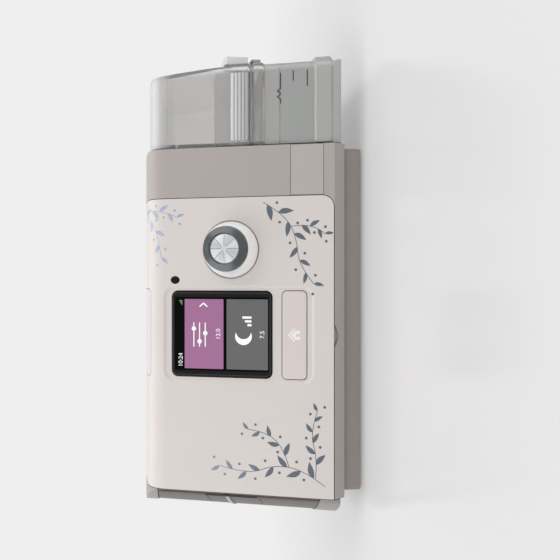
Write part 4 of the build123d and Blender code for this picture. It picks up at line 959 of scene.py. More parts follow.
def cross_recess_recipe(material: bpy.types.Material, turn: float = 0.4) -> GeometryRecipe:
    """Cross recess on each point: two bars, Length by Width, facing down.

    Args:
        material: Material of the recesses.
        turn: Turn of each cross, radians.

    Returns:
        The recipe; its carrier holds the points.
    """
    recipe = GeometryRecipe("cross_recess")
    length, width = recipe.sizes("Length", "Width")
    cross = recipe.gather((recipe.sheet(length, width), recipe.sheet(width, length)))
    down = recipe.add("GeometryNodeTransform", {"Geometry": cross, "Rotation": (math.pi, 0.0, turn)})
    recipe.close(recipe.scatter(recipe.source.outputs["Geometry"], down.outputs[0]), material)
    return recipe


def ray_ring_recipe(material: bpy.types.Material) -> GeometryRecipe:
    """Flat rays round an axis: Count rays from Inner to Outer, each Width wide.

    Args:
        material: Material of the rays.

    Returns:
        The recipe; its rays lie in the XY plane.
    """
    recipe = GeometryRecipe("ray_ring")
    count = recipe.size("Count", "Int")
    inner, outer, width = recipe.sizes("Inner", "Outer", "Width")
    spots = recipe.add("GeometryNodeMeshLine", {"Count": count, "Offset": (0, 0, 0)}).outputs[0]
    share = recipe.calc("DIVIDE", recipe.add("GeometryNodeInputIndex").outputs[0], count)
    turn = recipe.vector(z=recipe.times(share, 2 * math.pi))
    ray = recipe.sheet(recipe.calc("SUBTRACT", outer, inner), width)
    middle = recipe.times(recipe.calc("ADD", outer, inner), 0.5)
    recipe.close(recipe.scatter(spots, recipe.moved(ray, middle), Rotation=turn), material)
    return recipe


@dataclass(frozen=True)
class LeafShape:
    """Shape of a lance leaf and its berry.

    Attributes:
        belly: Power that sets how near its foot a leaf is widest.
        bow: Bend to one side, as a share of the width.
        first: Scale of the leaf nearest the stem's foot.
        taper: How much smaller the last leaf is.
        berry_reach: Distance of the berry from the stem, as a share of the leaf's length.
    """

    belly: float = 0.8
    bow: float = 0.14
    first: float = 1.05
    taper: float = 0.45
    berry_reach: float = 0.62


def twig_recipe(material: bpy.types.Material, shape: LeafShape = LeafShape()) -> GeometryRecipe:
    """Twig along a curve: a stem bare at its foot, then lance leaves on alternate sides, each with a berry.

    Args:
        material: Material of the twig.
        shape: Shape of its leaves.

    Returns:
        The recipe; it lies flat in the curve's plane.
    """
    recipe = GeometryRecipe("twig")
    stem_width, leaf_length, leaf_width = recipe.sizes("Stem Width", "Leaf Length", "Leaf Width")
    leaves = recipe.size("Leaves", "Int")
    spread, berry, bare = recipe.sizes("Spread", "Berry", "Bare")
    path = recipe.source.outputs["Geometry"]
    level = recipe.add("GeometryNodeSetCurveNormal", {"Curve": path}, mode="Z_UP").outputs[0]
    stem = recipe.sweep(level, recipe.straight(stem_width))

    spot = recipe.parts(recipe.add("GeometryNodeInputPosition").outputs[0])
    along = recipe.calc("ADD", recipe.calc("DIVIDE", spot["X"], leaf_length), 0.5)
    swell = recipe.calc("SINE", recipe.times(recipe.calc("POWER", along, shape.belly), math.pi))
    bow = recipe.times(recipe.times(swell, leaf_width), shape.bow)
    side = recipe.calc("ADD", recipe.times(spot["Y"], swell), bow)
    curved = {
        "Geometry": recipe.sheet(leaf_length, leaf_width, columns=9, rows=3),
        "Position": recipe.vector(recipe.times(along, leaf_length), side),
    }
    leaf = recipe.add("GeometryNodeSetPosition", curved).outputs[0]

    leafy = recipe.add("GeometryNodeTrimCurve", {0: path, 2: bare}, mode="FACTOR").outputs[0]
    spots = recipe.add("GeometryNodeCurveToPoints", {"Curve": leafy, "Count": leaves}).outputs
    index = recipe.add("GeometryNodeInputIndex").outputs[0]
    parity = recipe.calc("SUBTRACT", recipe.times(recipe.calc("MODULO", index, 2.0), 2.0), 1.0)
    tangent = recipe.parts(spots["Tangent"])
    heading = recipe.calc("ARCTAN2", tangent["Y"], tangent["X"])
    fork = recipe.times(parity, spread)
    shrink = recipe.times(recipe.calc("DIVIDE", index, leaves), shape.taper)
    leaf_set = recipe.scatter(
        spots[0],
        leaf,
        Rotation=recipe.vector(z=recipe.calc("ADD", heading, fork)),
        Scale=recipe.calc("SUBTRACT", shape.first, shrink),
    )

    dot = recipe.add("GeometryNodeMeshCircle", {"Vertices": 14, "Radius": berry}, fill_type="NGON").outputs[0]
    hung = recipe.moved(dot, recipe.times(leaf_length, shape.berry_reach))
    away = recipe.vector(z=recipe.calc("SUBTRACT", heading, fork))
    berries = recipe.scatter(spots[0], hung, Rotation=away)
    recipe.close(recipe.gather((stem, leaf_set, berries)), material)
    return recipe


# ------------------------------------------------------------------ flat shapes
def rectangle(left: float, bottom: float, width: float, height: float) -> list[Flat]:
    """Outline of a rectangle, anticlockwise."""
    right, top = left + width, bottom + height
    return [(left, bottom), (right, bottom), (right, top), (left, top)]


@dataclass(frozen=True)
class BarRow:
    """Upright bars in a row, in millimetres."""

    left: float
    pitch: float
    width: float
    base: float
    rises: tuple[float, ...]

    def outlines(self) -> list[list[Flat]]:
        """Outlines of the bars."""
        lefts = (self.left + self.pitch * column for column in range(len(self.rises)))
        return [rectangle(left, self.base, self.width, rise) for left, rise in zip(lefts, self.rises)]


def rounded_rectangle(width: float, height: float, corner: float, steps: int = 6) -> list[Flat]:
    """Outline of a rectangle with rounded corners about the origin, anticlockwise.

    Args:
        width: Size along X.
        height: Size along Y.
        corner: Corner radius.
        steps: Segments in each corner.

    Returns:
        The outline's points.
    """
    outline = []
    for quarter, (sx, sy) in enumerate(((1, 1), (-1, 1), (-1, -1), (1, -1))):
        centre = (sx * (width / 2 - corner), sy * (height / 2 - corner))
        outline += arc(centre, corner, 90 * quarter, 90 * (quarter + 1), steps)
    return outline


def arc(centre: Flat, radius: float, start: float, end: float, steps: int = 18) -> list[Flat]:
    """Points along an arc.

    Args:
        centre: Its centre.
        radius: Its radius.
        start: First angle in degrees.
        end: Last angle in degrees.
        steps: Segments.

    Returns:
        The points.
    """
    angles = [math.radians(start + (end - start) * step / steps) for step in range(steps + 1)]
    return [(centre[0] + radius * math.cos(a), centre[1] + radius * math.sin(a)) for a in angles]


def disc(centre: Flat, radius: float, sides: int = 18) -> list[Flat]:
    """Outline of a disc."""
    return arc(centre, radius, 0, 360 - 360 / sides, sides - 1)


def in_millimetres(outlines: Iterable[Outline]) -> list[list[Flat]]:
    """Outlines given in millimetres, turned to metres."""
    return [[(x * MM, y * MM) for x, y in outline] for outline in outlines]


def ribbon(path: Outline, width: float) -> list[list[Flat]]:
    """Thin strip along a path, one outline for each run, ends overlapping at the corners.

    Args:
        path: Points of its middle line.
        width: Its width.

    Returns:
        The outlines, anticlockwise.
    """
    strips = []
    for (x1, y1), (x2, y2) in zip(path, path[1:]):
        length = math.hypot(x2 - x1, y2 - y1)
        ux, uy = (x2 - x1) / length * width / 2, (y2 - y1) / length * width / 2
        start = [(x1 - ux + uy, y1 - uy - ux), (x2 + ux + uy, y2 + uy - ux)]
        strips.append(start + [(x2 + ux - uy, y2 + uy + ux), (x1 - ux - uy, y1 - uy + ux)])
    return strips


def shape_mesh(name: str, outlines: Iterable[Outline], matrix: Matrix) -> bpy.types.Mesh:
    """Flat mesh of one or more filled outlines.

    Args:
        name: The mesh's name.
        outlines: Outlines in the drawing's plane.
        matrix: Matrix that lays the drawing in place.

    Returns:
        The mesh, its faces towards the drawing's +Z.
    """
    shape = bmesh.new()
    for outline in outlines:
        shape.faces.new([shape.verts.new((x, y, 0)) for x, y in outline])
    shape.normal_update()
    face_up(shape)
    shape.transform(matrix)
    return mesh_of(shape, name)


def digits_mesh(text: str, height: float, matrix: Matrix) -> bpy.types.Mesh:
    """Plain numerals as a flat mesh, centred on the drawing's origin.

    Args:
        text: The numerals.
        height: Their type size.
        matrix: Matrix that lays the drawing in place.

    Returns:
        The mesh.
    """
    curve = bpy.data.curves.new("numerals", "FONT")
    curve.body = text
    curve.size = height
    curve.align_x = "CENTER"
    curve.align_y = "CENTER"
    mesh = frozen(put("numerals", curve))
    mesh.transform(matrix)
    return mesh


def lift_of(node: bpy.types.Object, frame: Matrix) -> float:
    """Height of a node's highest point above a frame's XY plane."""
    out = frame.col[2].to_3d()
    return max((vertex.co - frame.translation).dot(out) for vertex in node.data.vertices)


@dataclass(frozen=True)
class SkinPatch:
    """Part of a solid's skin that faces one way inside a box.

    Attributes:
        low: The box's low corner.
        high: The box's high corner.
        facing: Direction that the skin faces.
        least: Least share of a face's normal along that direction.
    """

    low: Triple
    high: Triple
    facing: Triple
    least: float = 0.3


def skin_copy(node: bpy.types.Object, frame: Matrix, patch: SkinPatch, lift: float) -> bpy.types.Mesh:
    """Copies a patch of a solid's skin, lifted off it.

    Args:
        node: The solid.
        frame: Frame in which the patch is given.
        patch: The patch.
        lift: Distance off the skin.

    Returns:
        The mesh in the machine's frame.
    """
    shape = bmesh.new()
    shape.from_mesh(node.data)
    bmesh.ops.remove_doubles(shape, verts=shape.verts[:], dist=0.001 * MM)
    shape.transform(frame.inverted())
    for axis in range(3):
        for corner, side in ((patch.low, -1), (patch.high, 1)):
            normal = Vector((0, 0, 0))
            normal[axis] = side
            parts = shape.verts[:] + shape.edges[:] + shape.faces[:]
            bmesh.ops.bisect_plane(shape, geom=parts, plane_co=corner, plane_no=normal, clear_outer=True)
    shape.normal_update()
    facing = Vector(patch.facing)
    hidden = [face for face in shape.faces if face.normal.dot(facing) < patch.least]
    bmesh.ops.delete(shape, geom=hidden, context="FACES")
    shape.normal_update()
    for vertex in shape.verts:
        vertex.co += vertex.normal * lift
    shape.transform(frame)
    return mesh_of(shape, node.name)


# ------------------------------------------------------------------ sub-assemblies
@dataclass
class Assembly:
    """Base of the machine's sub-assemblies: dresses solids and adds pieces that ride on them.

    Attributes:
        nodes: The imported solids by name.
        paint: Where finishes come from.
        coats: Names of the solids that get each finish.
    """

    nodes: dict[str, bpy.types.Object]
    paint: PaintShop
    coats: ClassVar[dict[Finish, tuple[str, ...]]] = {}

    def build(self) -> None:
        """Dresses the solids and adds the pieces."""
        for finish, names in self.coats.items():
            for name in names:
                self.paint.coat(self.nodes[name], finish)
                LOG.info("dressed %s with %s", name, finish.value.name)
        self.add_pieces()

    def add_pieces(self) -> None:
        """Adds the pieces that have no solid; a sub-assembly may have none."""

    def piece(
        self, name: str, mesh: bpy.types.Mesh, finish: Finish, slot: str, body: str = "machine"
    ) -> None:
        """Adds a piece with its mesh already in place.

        Args:
            name: The piece's name.
            mesh: Its mesh in the machine's frame.
            finish: Its finish.
            slot: Name of a material slot; not used.
            body: The body it rides on.
        """
        thing = put(name, mesh)
        self.paint.coat(thing, finish)
        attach(thing, body)
        LOG.info("added %s on %s, %d faces", name, body, len(mesh.polygons))

    def draw(self, name: str, outlines: Iterable[Outline], matrix: Matrix, *dress: Any) -> None:
        """Adds a flat piece of filled outlines, with its finish and body."""
        self.piece(name, shape_mesh(name, outlines, matrix), *dress)


@dataclass(frozen=True)
class Twig:
    """One printed twig, in millimetres.

    Attributes:
        path: Control points of its stem, across and run.
        leaves: How many leaves.
        leaf_length: Length of a leaf.
        leaf_width: Width of the leaf's sheet.
        bare: Share of the stem that bears no leaf.
        spread: Angle of the leaves to the stem, radians.
        berry: Radius of a berry.
        stem_width: Width of the stem.
    """

    path: tuple[Flat, ...]
    leaves: int
    leaf_length: float
    leaf_width: float
    bare: float = 0.2
    spread: float = 0.75
    berry: float = 0.75
    stem_width: float = 0.35

    def sizes(self) -> dict[str, Any]:
        """Values of the twig recipe's inputs.

        Returns:
            The values by name.
        """
        return {
            "Stem Width": self.stem_width,
            "Leaf Length": self.leaf_length,
            "Leaf Width": self.leaf_width,
            "Leaves": self.leaves,
            "Spread": self.spread,
            "Berry": self.berry,
            "Bare": self.bare,
        }


@dataclass
class Housing(Assembly):
    """Plinth, covers and the print on the front cover."""

    print_lift: float = 0.03 * MM
    screw_head_radius: float = 3.0 * MM
    recess_length: float = 3.2 * MM
    recess_width: float = 0.8 * MM
    longest_edge: float = 1.5
    twigs: tuple[Twig, ...] = (
        Twig(((-107, 5), (-99, 16), (-97, 32), (-103, 46), (-99, 62)), 8, 8.5, 3.0, bare=0.12),
        Twig(((-98, 24), (-88, 27), (-80, 36), (-79, 46)), 5, 7.0, 2.6),
        Twig(((-103, 10), (-92, 9), (-80, 13), (-68, 9)), 6, 7.0, 2.6),
        Twig(((40, 118), (36, 106), (26, 97), (12, 95)), 6, 7.5, 2.8, bare=0.05),
        Twig(((37, 108), (39, 97), (34, 86)), 4, 6.5, 2.4, bare=0.3),
        Twig(((41, 38), (34, 26), (22, 20), (8, 19), (-2, 11)), 8, 8.5, 3.0, bare=0.05),
        Twig(((28, 23), (30, 12), (24, 5)), 4, 6.5, 2.4, bare=0.3),
    )
    coats = {
        Finish.FASCIA: ("front_fascia",),
        Finish.BAND: ("main_housing", "rear_housing"),
        Finish.BADGE: ("badge_plate",),
        Finish.PLINTH: ("base_chassis",),
        Finish.RUBBER: ("rubber_feet",),
        Finish.STEEL: ("chassis_screws",),
    }

    def add_pieces(self) -> None:
        """Adds the painted shade in the screws' recesses and the print."""
        self.add_recesses()
        self.add_print()

    def add_recesses(self) -> None:
        """Paints the shade in the cross recess of each screw under the plinth, as a flat dark cross."""
        low, high = (Vector(corner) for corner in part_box("chassis_screws"))
        margin = self.screw_head_radius
        spots = [
            (x, y, low.z - self.print_lift)
            for x in (low.x + margin, high.x - margin)
            for y in (low.y + margin, high.y - margin)
        ]
        sizes = {"Length": self.recess_length, "Width": self.recess_width}
        mesh = cross_recess_recipe(self.paint.get(Finish.RECESS_SHADE)).bake(carrier_mesh(spots), sizes)
        self.piece("screw_recesses", mesh, Finish.RECESS_SHADE, "steel")

    def add_print(self) -> None:
        """Prints the twigs on the front cover, wrapped over its shoulder."""
        recipe = twig_recipe(self.paint.get(Finish.INK))
        shape = bmesh.new()
        for twig in self.twigs:
            shape.from_mesh(recipe.bake(carrier_curve(twig.path), twig.sizes()))
        long_edges = [edge for edge in shape.edges if edge.calc_length() > self.longest_edge]
        bmesh.ops.subdivide_edges(shape, edges=long_edges, cuts=2, use_grid_fill=True)
        face_up(shape)
        for vertex in shape.verts:
            vertex.co = OUTLINE.place(vertex.co.x * MM, vertex.co.y * MM, self.print_lift)
        self.piece("twig_print", mesh_of(shape, "twig_print"), Finish.INK, "fascia")


@dataclass(frozen=True)
class ScreenDrawing:
    """Signs and numerals of the screen and the home button, in millimetres from the middle of each.

    Attributes:
        sliders: Height of each slider and place of its knob.
        slider: Left end, length and thickness of a slider.
        knob_radius: Radius of a knob.
        arrow: Outline of the arrow.
        crescent: Centre, radius and end angles of the crescent's two arcs.
        chart: The rising bars.
        signal: The signal bars.
        numerals: Name, text and place of each group of numerals.
        numeral_height: Their type size.
        house: Roof and walls of the house sign.
    """

    sliders: tuple[Flat, ...] = ((15.2, 2.8), (12.0, -4.0), (8.8, 0.4))
    slider: Triple = (-6.9, 13.0, 0.6)
    knob_radius: float = 1.25
    arrow: tuple[Flat, ...] = ((14.2, 12.0), (15.1, 12.0), (16.9, 9.8), (15.1, 7.6), (14.2, 7.6), (16.0, 9.8))
    crescent: tuple[tuple[Flat, float, float, float], ...] = (
        ((-1.0, -12.4), 4.6, 62, 298),
        ((1.6, -12.4), 4.1, 262, 98),
    )
    chart: BarRow = BarRow(4.4, pitch=2.0, width=1.2, base=-16.8, rises=(2.2, 3.6, 5.0))
    signal: BarRow = BarRow(15.4, pitch=0.7, width=0.5, base=21.7, rises=(0.45, 0.9, 1.35, 1.8))
    numerals: tuple[tuple[str, str, Flat], ...] = (
        ("clock_numerals", "10:24", (-14.2, 22.6)),
        ("upper_numerals", "12.0", (0, 1.5)),
        ("lower_numerals", "7.5", (0, -22.7)),
    )
    numeral_height: float = 3.4
    house: tuple[tuple[Flat, ...], ...] = (
        ((-3.6, 0.2), (-3.1, -0.4), (0, 2.3), (3.1, -0.4), (3.6, 0.2), (0, 3.4)),
        ((-2.5, -3.2), (-0.7, -3.2), (-0.7, -1.0), (0, -1.0), (0, 1.7), (-2.5, -0.5)),
        ((0, -1.0), (0.7, -1.0), (0.7, -3.2), (2.5, -3.2), (2.5, -0.5), (0, 1.7)),
    )

    def signs(self) -> list[Outline]:
        """Outlines of the signs on the tiles.

        Returns:
            The outlines.
        """
        left, length, thickness = self.slider
        outlines: list[Outline] = []
        for level, knob in self.sliders:
            outlines.append(rectangle(left, level - thickness / 2, length, thickness))
            outlines.append(disc((knob, level), self.knob_radius))
        outlines.append(self.arrow)
        outlines.append([spot for stroke in self.crescent for spot in arc(*stroke)])
        return outlines + self.chart.outlines()


@dataclass
class Screen(Assembly):
    """Display, its lit tiles, the light sensor and the home button."""

    across: float = -28.9 * MM
    middle: float = 61.1 * MM
    home_middle: float = 21.3 * MM
    width: float = 37.3 * MM
    print_lift: float = 0.03 * MM
    field_margin: float = 1.1 * MM
    field_corner: float = 1.0 * MM
    tile_corner: float = 0.2 * MM
    highlight_width: float = 0.22 * MM
    rim_inset: float = 0.9 * MM
    lens_size: Flat = (45.6 * MM, 55.8 * MM)
    lens_corner: float = 3.0 * MM
    upper_tile: Flat = (-1.35 * MM, 20.4 * MM)
    lower_tile: Flat = (-25.7 * MM, -3.1 * MM)
    drawing: ScreenDrawing = ScreenDrawing()
    coats = {
        Finish.LENS: ("display_lens", "light_sensor_window"),
        Finish.DARK: ("display_module", "home_switch", "home_plunger"),
        Finish.BOARD: ("front_board",),
        Finish.BUTTON: ("home_button",),
    }

    def add_pieces(self) -> None:
        """Adds what the window shows, each layer a little above the last, and the house sign."""
        glass = lift_of(self.nodes["display_lens"], OUTLINE.face_matrix(self.across, self.middle))
        self.add_field(glass + self.print_lift)
        self.add_tile("upper_tile", self.upper_tile, Finish.UPPER_TILE, glass + 2 * self.print_lift)
        self.add_tile("lower_tile", self.lower_tile, Finish.LOWER_TILE, glass + 2 * self.print_lift)
        self.add_marks(OUTLINE.face_matrix(self.across, self.middle, glass + 3 * self.print_lift))
        self.add_house()

    def add_field(self, lift: float) -> None:
        """Adds the black field round the tiles and a thin painted highlight inside the window's edge, where
        its bevel would catch the light.

        Args:
            lift: Lift above the face.
        """
        matrix = OUTLINE.face_matrix(self.across, self.middle, lift)
        width, height = (size - 2 * self.rim_inset for size in self.lens_size)
        edge = rounded_rectangle(width, height, self.lens_corner - self.rim_inset)
        self.draw("window_bevel_highlight", ribbon(edge + edge[:1], self.highlight_width), matrix, Finish.BEVEL_HIGHLIGHT, "lens")
        across = self.width + 2 * self.field_margin
        field = rounded_rectangle(across, height - 2 * self.rim_inset, self.field_corner)
        self.draw("screen_field", [field], matrix, Finish.FIELD, "lens")

    def add_tile(self, name: str, span: Flat, finish: Finish, lift: float) -> None:
        """Adds one lit tile.

        Args:
            name: The tile's name.
            span: Its lower and upper edge from the screen's middle.
            finish: Its colour.
            lift: Lift above the face.
        """
        low, high = span
        matrix = OUTLINE.face_matrix(self.across, self.middle + (low + high) / 2, lift)
        outline = rounded_rectangle(self.width, high - low, self.tile_corner, steps=2)
        self.draw(name, [outline], matrix, finish, "lens")

    def add_marks(self, matrix: Matrix) -> None:
        """Adds the signs and numerals on the tiles.

        Args:
            matrix: Lays a drawing about the screen's middle on the glass.
        """
        self.draw("screen_signs", in_millimetres(self.drawing.signs()), matrix, Finish.SCREEN_MARK, "lens")
        height = self.drawing.numeral_height * MM
        for name, text, (x, y) in self.drawing.numerals:
            placed = matrix @ Matrix.Translation((x * MM, y * MM, 0))
            self.piece(name, digits_mesh(text, height, placed), Finish.SCREEN_MARK, "lens")
        bars = in_millimetres(self.drawing.signal.outlines())
        self.draw("signal_bars", bars, matrix, Finish.SIGNAL, "lens")

    def add_house(self) -> None:
        """Adds the house sign on the home button."""
        frame = OUTLINE.face_matrix(self.across, self.home_middle)
        lift = lift_of(self.nodes["home_button"], frame) + self.print_lift
        matrix = OUTLINE.face_matrix(self.across, self.home_middle, lift)
        house = in_millimetres(self.drawing.house)
        self.draw("house_sign", house, matrix, Finish.WHITE_INK, "fascia", "home_key")


@dataclass
class Dial(Assembly):
    """Turning and pressing dial on the face."""

    across: float = DIAL_ACROSS
    run: float = DIAL_RUN
    ray_count: int = 8
    ray_start: float = 1.6 * MM
    ray_reach: float = 7.2 * MM
    ray_width: float = 0.24 * MM
    ray_lift: float = 0.03 * MM
    longest_edge: float = 2.0 * MM
    cap_radius: float = 7.65 * MM
    cap_rise: float = 0.7 * MM
    coats = {
        Finish.PEARL: ("dial_skirt",),
        Finish.DARKENED_CHROME: ("dial_ring",),
        Finish.DARK: ("dial_shaft", "encoder_plunger"),
        Finish.STEEL: ("encoder_body",),
        Finish.SPUN_SILVER: ("dial_cap",),
    }

    def add_pieces(self) -> None:
        """Lays the rays of painted shade, in the grooves between the cap's wedges, on the cap's dome."""
        frame = OUTLINE.face_matrix(self.across, self.run)
        top = lift_of(self.nodes["dial_cap"], frame) + self.ray_lift
        sizes = {
            "Count": self.ray_count,
            "Inner": self.ray_start,
            "Outer": self.ray_reach,
            "Width": self.ray_width,
        }
        shape = bmesh.new()
        shape.from_mesh(ray_ring_recipe(self.paint.get(Finish.GROOVE_SHADE)).bake(carrier_mesh(), sizes))
        long_edges = [edge for edge in shape.edges if edge.calc_length() > self.longest_edge]
        bmesh.ops.subdivide_edges(shape, edges=long_edges, cuts=5)
        bmesh.ops.triangulate(shape, faces=shape.faces[:])
        dome = (self.cap_radius**2 + self.cap_rise**2) / (2 * self.cap_rise)
        for vertex in shape.verts:
            spot = vertex.co.copy()
            spot.z = dome * (math.sqrt(1 - (spot.to_2d().length / dome) ** 2) - 1) + top
            vertex.co = frame @ spot
        self.piece("dial_rays", mesh_of(shape, "dial_rays"), Finish.GROOVE_SHADE, "silver", "dial")


@dataclass
class StartKey(Assembly):
    """Start button on the shoulder with its switch."""

    coats = {
        Finish.BUTTON: ("start_button",),
        Finish.DARK: ("start_switch", "start_plunger"),
        Finish.BOARD: ("top_board",),
    }


@dataclass
class LeftEnd(Assembly):
    """Bulged left end with the card door; the finger tab lies over the door's rib."""

    tab: SkinPatch = SkinPatch(
        low=(-130 * MM, 57.4 * MM, -130 * MM), high=(0.0, 59.6 * MM, 0.0), facing=(-0.857, 0.0, 0.515)
    )
    tab_lift: float = 0.03 * MM
    coats = {
        Finish.END: ("left_end_frame",),
        Finish.SIDE: ("left_side_cover", "sd_door"),
        Finish.DARK: ("sd_socket",),
        Finish.CARD: ("sd_card",),
    }

    def add_pieces(self) -> None:
        """Lays the light finger tab over the rib of the card door."""
        mesh = skin_copy(self.nodes["sd_door"], OUTLINE.face_matrix(0.0, 0.0), self.tab, self.tab_lift)
        self.piece("finger_tab", mesh, Finish.TAB, "side", "card_door")


@dataclass
class Inside(Assembly):
    """Boards, blower and ducts."""

    coats = {
        Finish.BOARD: ("main_board",),
        Finish.DARK: ("board_parts", "blower_base", "blower_cover", "flow_sensor"),
        Finish.STEEL: ("radio_module", "motor_shaft", "blower_motor"),
        Finish.IMPELLER: ("impeller",),
        Finish.SILICONE: ("blower_mounts", "air_duct"),
        Finish.FOAM: ("sound_foam",),
    }


@dataclass
class Rear(Assembly):
    """Filter, power inlet and air outlet."""

    coats = {
        Finish.SIDE: ("filter_box", "filter_cover", "retention_clip", "air_outlet"),
        Finish.FILTER: ("air_filter",),
        Finish.DARK: ("power_inlet",),
        Finish.CONTACT: ("inlet_contacts",),
    }


@dataclass(frozen=True)
class Tray:
    """Narrow tray inside the tub's head, its front wall parallel to the machine's face."""

    left: float = 73.7 * MM
    right: float = 111.4 * MM
    low: float = 67.0 * MM
    high: float = 76.4 * MM
    front_lift: float = -3.5 * MM
    rear: float = -40.0 * MM
    wall: float = 1.2 * MM

    def mesh(self) -> bpy.types.Mesh:
        """Closed mesh of the tray: a floor with a front wall and a rear wall along X.

        Returns:
            The mesh in the machine's frame.
        """
        inner = self.front_lift - self.wall
        floor = self.low + self.wall
        section = [
            (OUTLINE.depth_at(self.low, self.front_lift), self.low),
            (self.rear, self.low),
            (self.rear, self.high),
            (self.rear - self.wall, self.high),
            (self.rear - self.wall, floor),
            (OUTLINE.depth_at(floor, inner), floor),
            (OUTLINE.depth_at(self.high, inner), self.high),
            (OUTLINE.depth_at(self.high, self.front_lift), self.high),
        ]
        shape = bmesh.new()
        left, right = ([shape.verts.new((x, y, z)) for y, z in section] for x in (self.left, self.right))
        shape.faces.new(left)
        shape.faces.new(right)
        for step in range(len(section)):
            follow = (step + 1) % len(section)
            shape.faces.new((left[step], left[follow], right[follow], right[step]))
        bmesh.ops.recalc_face_normals(shape, faces=shape.faces[:])
        bmesh.ops.triangulate(shape, faces=shape.faces[:])
        return mesh_of(shape, "tray")


@dataclass
class Tub(Assembly):
    """Humidifier tub and its bay.

    Attributes:
        setback: Lift of the tub's front wall above the machine's face.
        wave: Outline of the full line's wave, in millimetres from its start.
        wave_start: Its start, across and run.
        ticks: Left end, right end and run of each tick under it.
    """

    setback: float = -1.6 * MM
    mark_lift: float = 0.04 * MM
    mark_width: float = 0.6
    wave: tuple[Flat, ...] = (
        *((0, 0), (1.9, 0), (3.3, 1.7), (4.6, 0.1)),
        *((5.0, 0.1), (6.4, 1.7), (7.6, 0), (15.6, 0)),
    )
    wave_start: Flat = (93.2, 28.9)
    ticks: tuple[Triple, ...] = ((104.9, 109.6, 22.1), (101.7, 109.5, 14.6))
    rib_count: int = 5
    rib_pitch: float = 1.95 * MM
    rib_length: float = 36.0 * MM
    rib_radius: float = 1.05 * MM
    rib_middle: Flat = (92.2 * MM, 50.9 * MM)
    bar_front: float = -1.15 * MM
    lip: SkinPatch = SkinPatch(
        low=(117.5 * MM, -1.0, 58.7 * MM), high=(1.0, 1.0, 71.6 * MM), facing=(0.62, -0.62, 0.48)
    )
    baffle: Tray = Tray()
    coats = {
        Finish.SIDE: ("bay_liner",),
        Finish.SILICONE: ("port_seals", "heater_insulator", "tub_seal"),
        Finish.STEEL: ("heater_plate",),
        Finish.ALUMINIUM: ("tub_plate",),
        Finish.CLEAR: ("tub_lid", "tub_ports"),
        Finish.CLEAR_BASE: ("tub_base",),
    }

    def add_pieces(self) -> None:
        """Adds the level marks, the grip ribs, the painted highlight on the lip and the splash tray."""
        self.add_level_marks()
        self.add_grip_ribs()
        lip_light = skin_copy(self.nodes["tub_lid"], Matrix.Identity(4), self.lip, self.mark_lift)
        self.piece("lip_painted_highlight", lip_light, Finish.LIP_HIGHLIGHT, "clear", "tub")
        self.piece("lid_baffle", self.baffle.mesh(), Finish.SMOKE, "clear", "tub")

    def add_level_marks(self) -> None:
        """Prints the wave line of the full level and two ticks under it."""
        across, run = self.wave_start
        strips = ribbon([(across + x, run + y) for x, y in self.wave], self.mark_width)
        for left, right, level in self.ticks:
            strips += ribbon([(left, level), (right, level)], self.mark_width)
        matrix = OUTLINE.face_matrix(0.0, 0.0, self.setback + self.mark_lift)
        self.draw("level_marks", in_millimetres(strips), matrix, Finish.DARK_INK, "clear", "tub")

    def add_grip_ribs(self) -> None:
        """Adds the round ribs along the front of the grip bar, painted pale towards the top as a highlight,
        with painted shade below.
        """
        sizes = {
            "Count": self.rib_count,
            "Pitch": self.rib_pitch,
            "Length": self.rib_length,
            "Radius": self.rib_radius,
        }
        mesh = rib_row_recipe(self.paint.get(Finish.GRIP_RIB_LIGHT)).bake(carrier_mesh(), sizes)
        mesh.transform(OUTLINE.face_matrix(*self.rib_middle, self.bar_front))
        self.piece("grip_ribs", mesh, Finish.GRIP_RIB_LIGHT, "clear", "tub")


# ------------------------------------------------------------------ studio
@dataclass(frozen=True)
class Softbox:
    """Square area lamp aimed at the machine."""

    name: str
    place: Triple
    size: float
    power: float


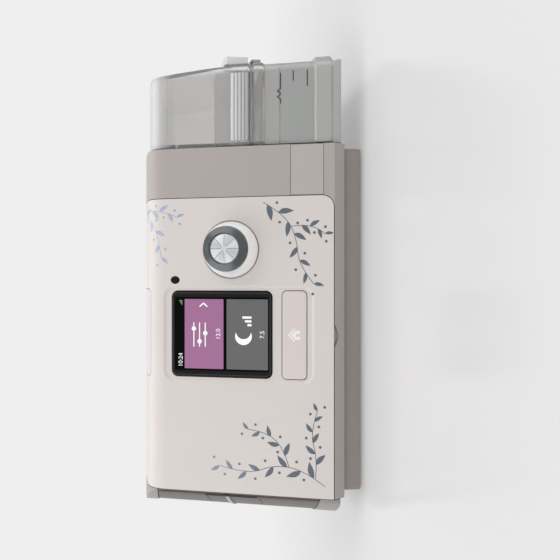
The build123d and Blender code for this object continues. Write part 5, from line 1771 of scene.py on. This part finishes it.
@dataclass(frozen=True)
class Studio:
    """Camera, floor and lamps.

    Attributes:
        floor_glow: Share of backdrop light in the floor near the machine.
        floor_fade: Distances over which the floor fades into the backdrop.
        sky: Strength of the even light from all round.
    """

    image_side: float = 560.0
    focal_pixels: float = 711.5
    sensor: float = 36.0
    clip: Flat = (0.01, 50.0)
    camera_spot: Triple = (0.0, -0.4353, 0.0908)
    pitch: float = math.radians(7.33)
    target: Triple = (0.0, 0.0, 0.06)
    backdrop: float = 0.86
    sky: float = 0.45
    floor_reach: float = 12.0
    floor_paint: float = 0.74
    floor_gloss: float = 0.2
    floor_shine: float = 0.7
    floor_glow: float = 0.28
    floor_fade: Flat = (0.2, 0.5)
    softboxes: tuple[Softbox, ...] = (
        Softbox("left_softbox", (-0.85, -0.5, 0.85), size=1.25, power=6.1),
        Softbox("right_softbox", (0.95, -0.45, 0.7), size=1.15, power=5.2),
        Softbox("top_softbox", (0.0, 0.3, 1.25), size=1.15, power=5.4),
    )

    def build(self) -> None:
        """Sets up the camera, the lamps, the world and the floor."""
        self.add_camera()
        for box in self.softboxes:
            self.add_softbox(box)
        self.set_world()
        self.add_floor()
        bpy.context.scene.view_settings.view_transform = "Standard"

    def add_camera(self) -> None:
        """Adds the camera, turned a quarter so that the machine's right points up."""
        data = bpy.data.cameras.new("camera")
        data.sensor_width = self.sensor
        data.lens = self.sensor * self.focal_pixels / self.image_side
        data.clip_start, data.clip_end = self.clip
        camera = put("camera", data)
        down, level = math.sin(self.pitch), math.cos(self.pitch)
        matrix = Matrix.Translation(self.camera_spot)
        for column, axis in enumerate(((0, -down, -level), (1, 0, 0), (0, -level, down))):
            matrix.col[column][:3] = axis
        camera.matrix_world = matrix
        bpy.context.scene.camera = camera

    def add_softbox(self, box: Softbox) -> None:
        """Adds one area lamp.

        Args:
            box: Its place, size and power.
        """
        data = bpy.data.lights.new(box.name, "AREA")
        data.size = box.size
        data.energy = box.power
        lamp = put(box.name, data)
        lamp.location = box.place
        lamp.visible_camera = False
        lamp.rotation_mode = "QUATERNION"
        lamp.rotation_quaternion = (Vector(self.target) - Vector(box.place)).to_track_quat("-Z", "Y")

    def set_world(self) -> None:
        """Even light from all round, seen as the pale backdrop."""
        world = bpy.data.worlds.new("studio")
        bpy.context.scene.world = world
        world.use_nodes = True
        tree = NodeTree(world.node_tree)
        lit = world.node_tree.nodes["Background"]
        tree.fill(lit, {"Color": shifted(grey(1.0)), "Strength": self.sky})
        seen = tree.add("ShaderNodeBackground", {"Color": shifted(grey(self.backdrop))})
        rays = tree.add("ShaderNodeLightPath").outputs
        looked_at = rays["Is Camera Ray"]
        for kind in ("Is Glossy Ray", "Is Transmission Ray"):
            looked_at = tree.calc("MAXIMUM", looked_at, rays[kind])
        mix = tree.add("ShaderNodeMixShader", {"Fac": looked_at, 1: lit.outputs[0], 2: seen.outputs[0]})
        tree.fill(world.node_tree.nodes["World Output"], {"Surface": mix.outputs[0]})

    def add_floor(self) -> None:
        """Adds a pale floor that keeps the shadow near the machine and fades into the backdrop."""
        side = 2 * self.floor_reach
        square = rectangle(-self.floor_reach, -self.floor_reach, side, side)
        mesh = shape_mesh("floor", [square], Matrix.Identity(4))
        floor = put("floor", mesh)
        tree = ShaderTree("floor_paint")
        tree.set({"Base Color": shifted(grey(self.floor_paint)), "Roughness": self.floor_gloss})
        tree.set({"Specular IOR Level": self.floor_shine})
        away = tree.add("ShaderNodeVectorMath", {0: tree.place}, operation="LENGTH").outputs["Value"]
        share = tree.remap(away, self.floor_fade, (self.floor_glow, 1.0), interpolation_type="SMOOTHSTEP")
        glow = tree.add("ShaderNodeEmission", {"Color": shifted(grey(self.backdrop))}).outputs[0]
        mix = tree.add("ShaderNodeMixShader", {"Fac": share, 1: tree.shader.outputs[0], 2: glow})
        tree.fill(tree.tree.nodes["Material Output"], {"Surface": mix.outputs[0]})
        mesh.materials.append(tree.material)


def main() -> None:
    """Sets up the studio, dresses the machine and adds its pieces."""
    logging.basicConfig(level=logging.INFO, format="%(message)s")
    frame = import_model()
    paint = PaintShop()
    Studio().build()
    for assembly in (Housing, Screen, Dial, StartKey, LeftEnd, Inside, Rear, Tub):
        LOG.info("building %s", assembly.__name__)
        assembly(frame["nodes"], paint).build()


if __name__ == "__main__":
    main()
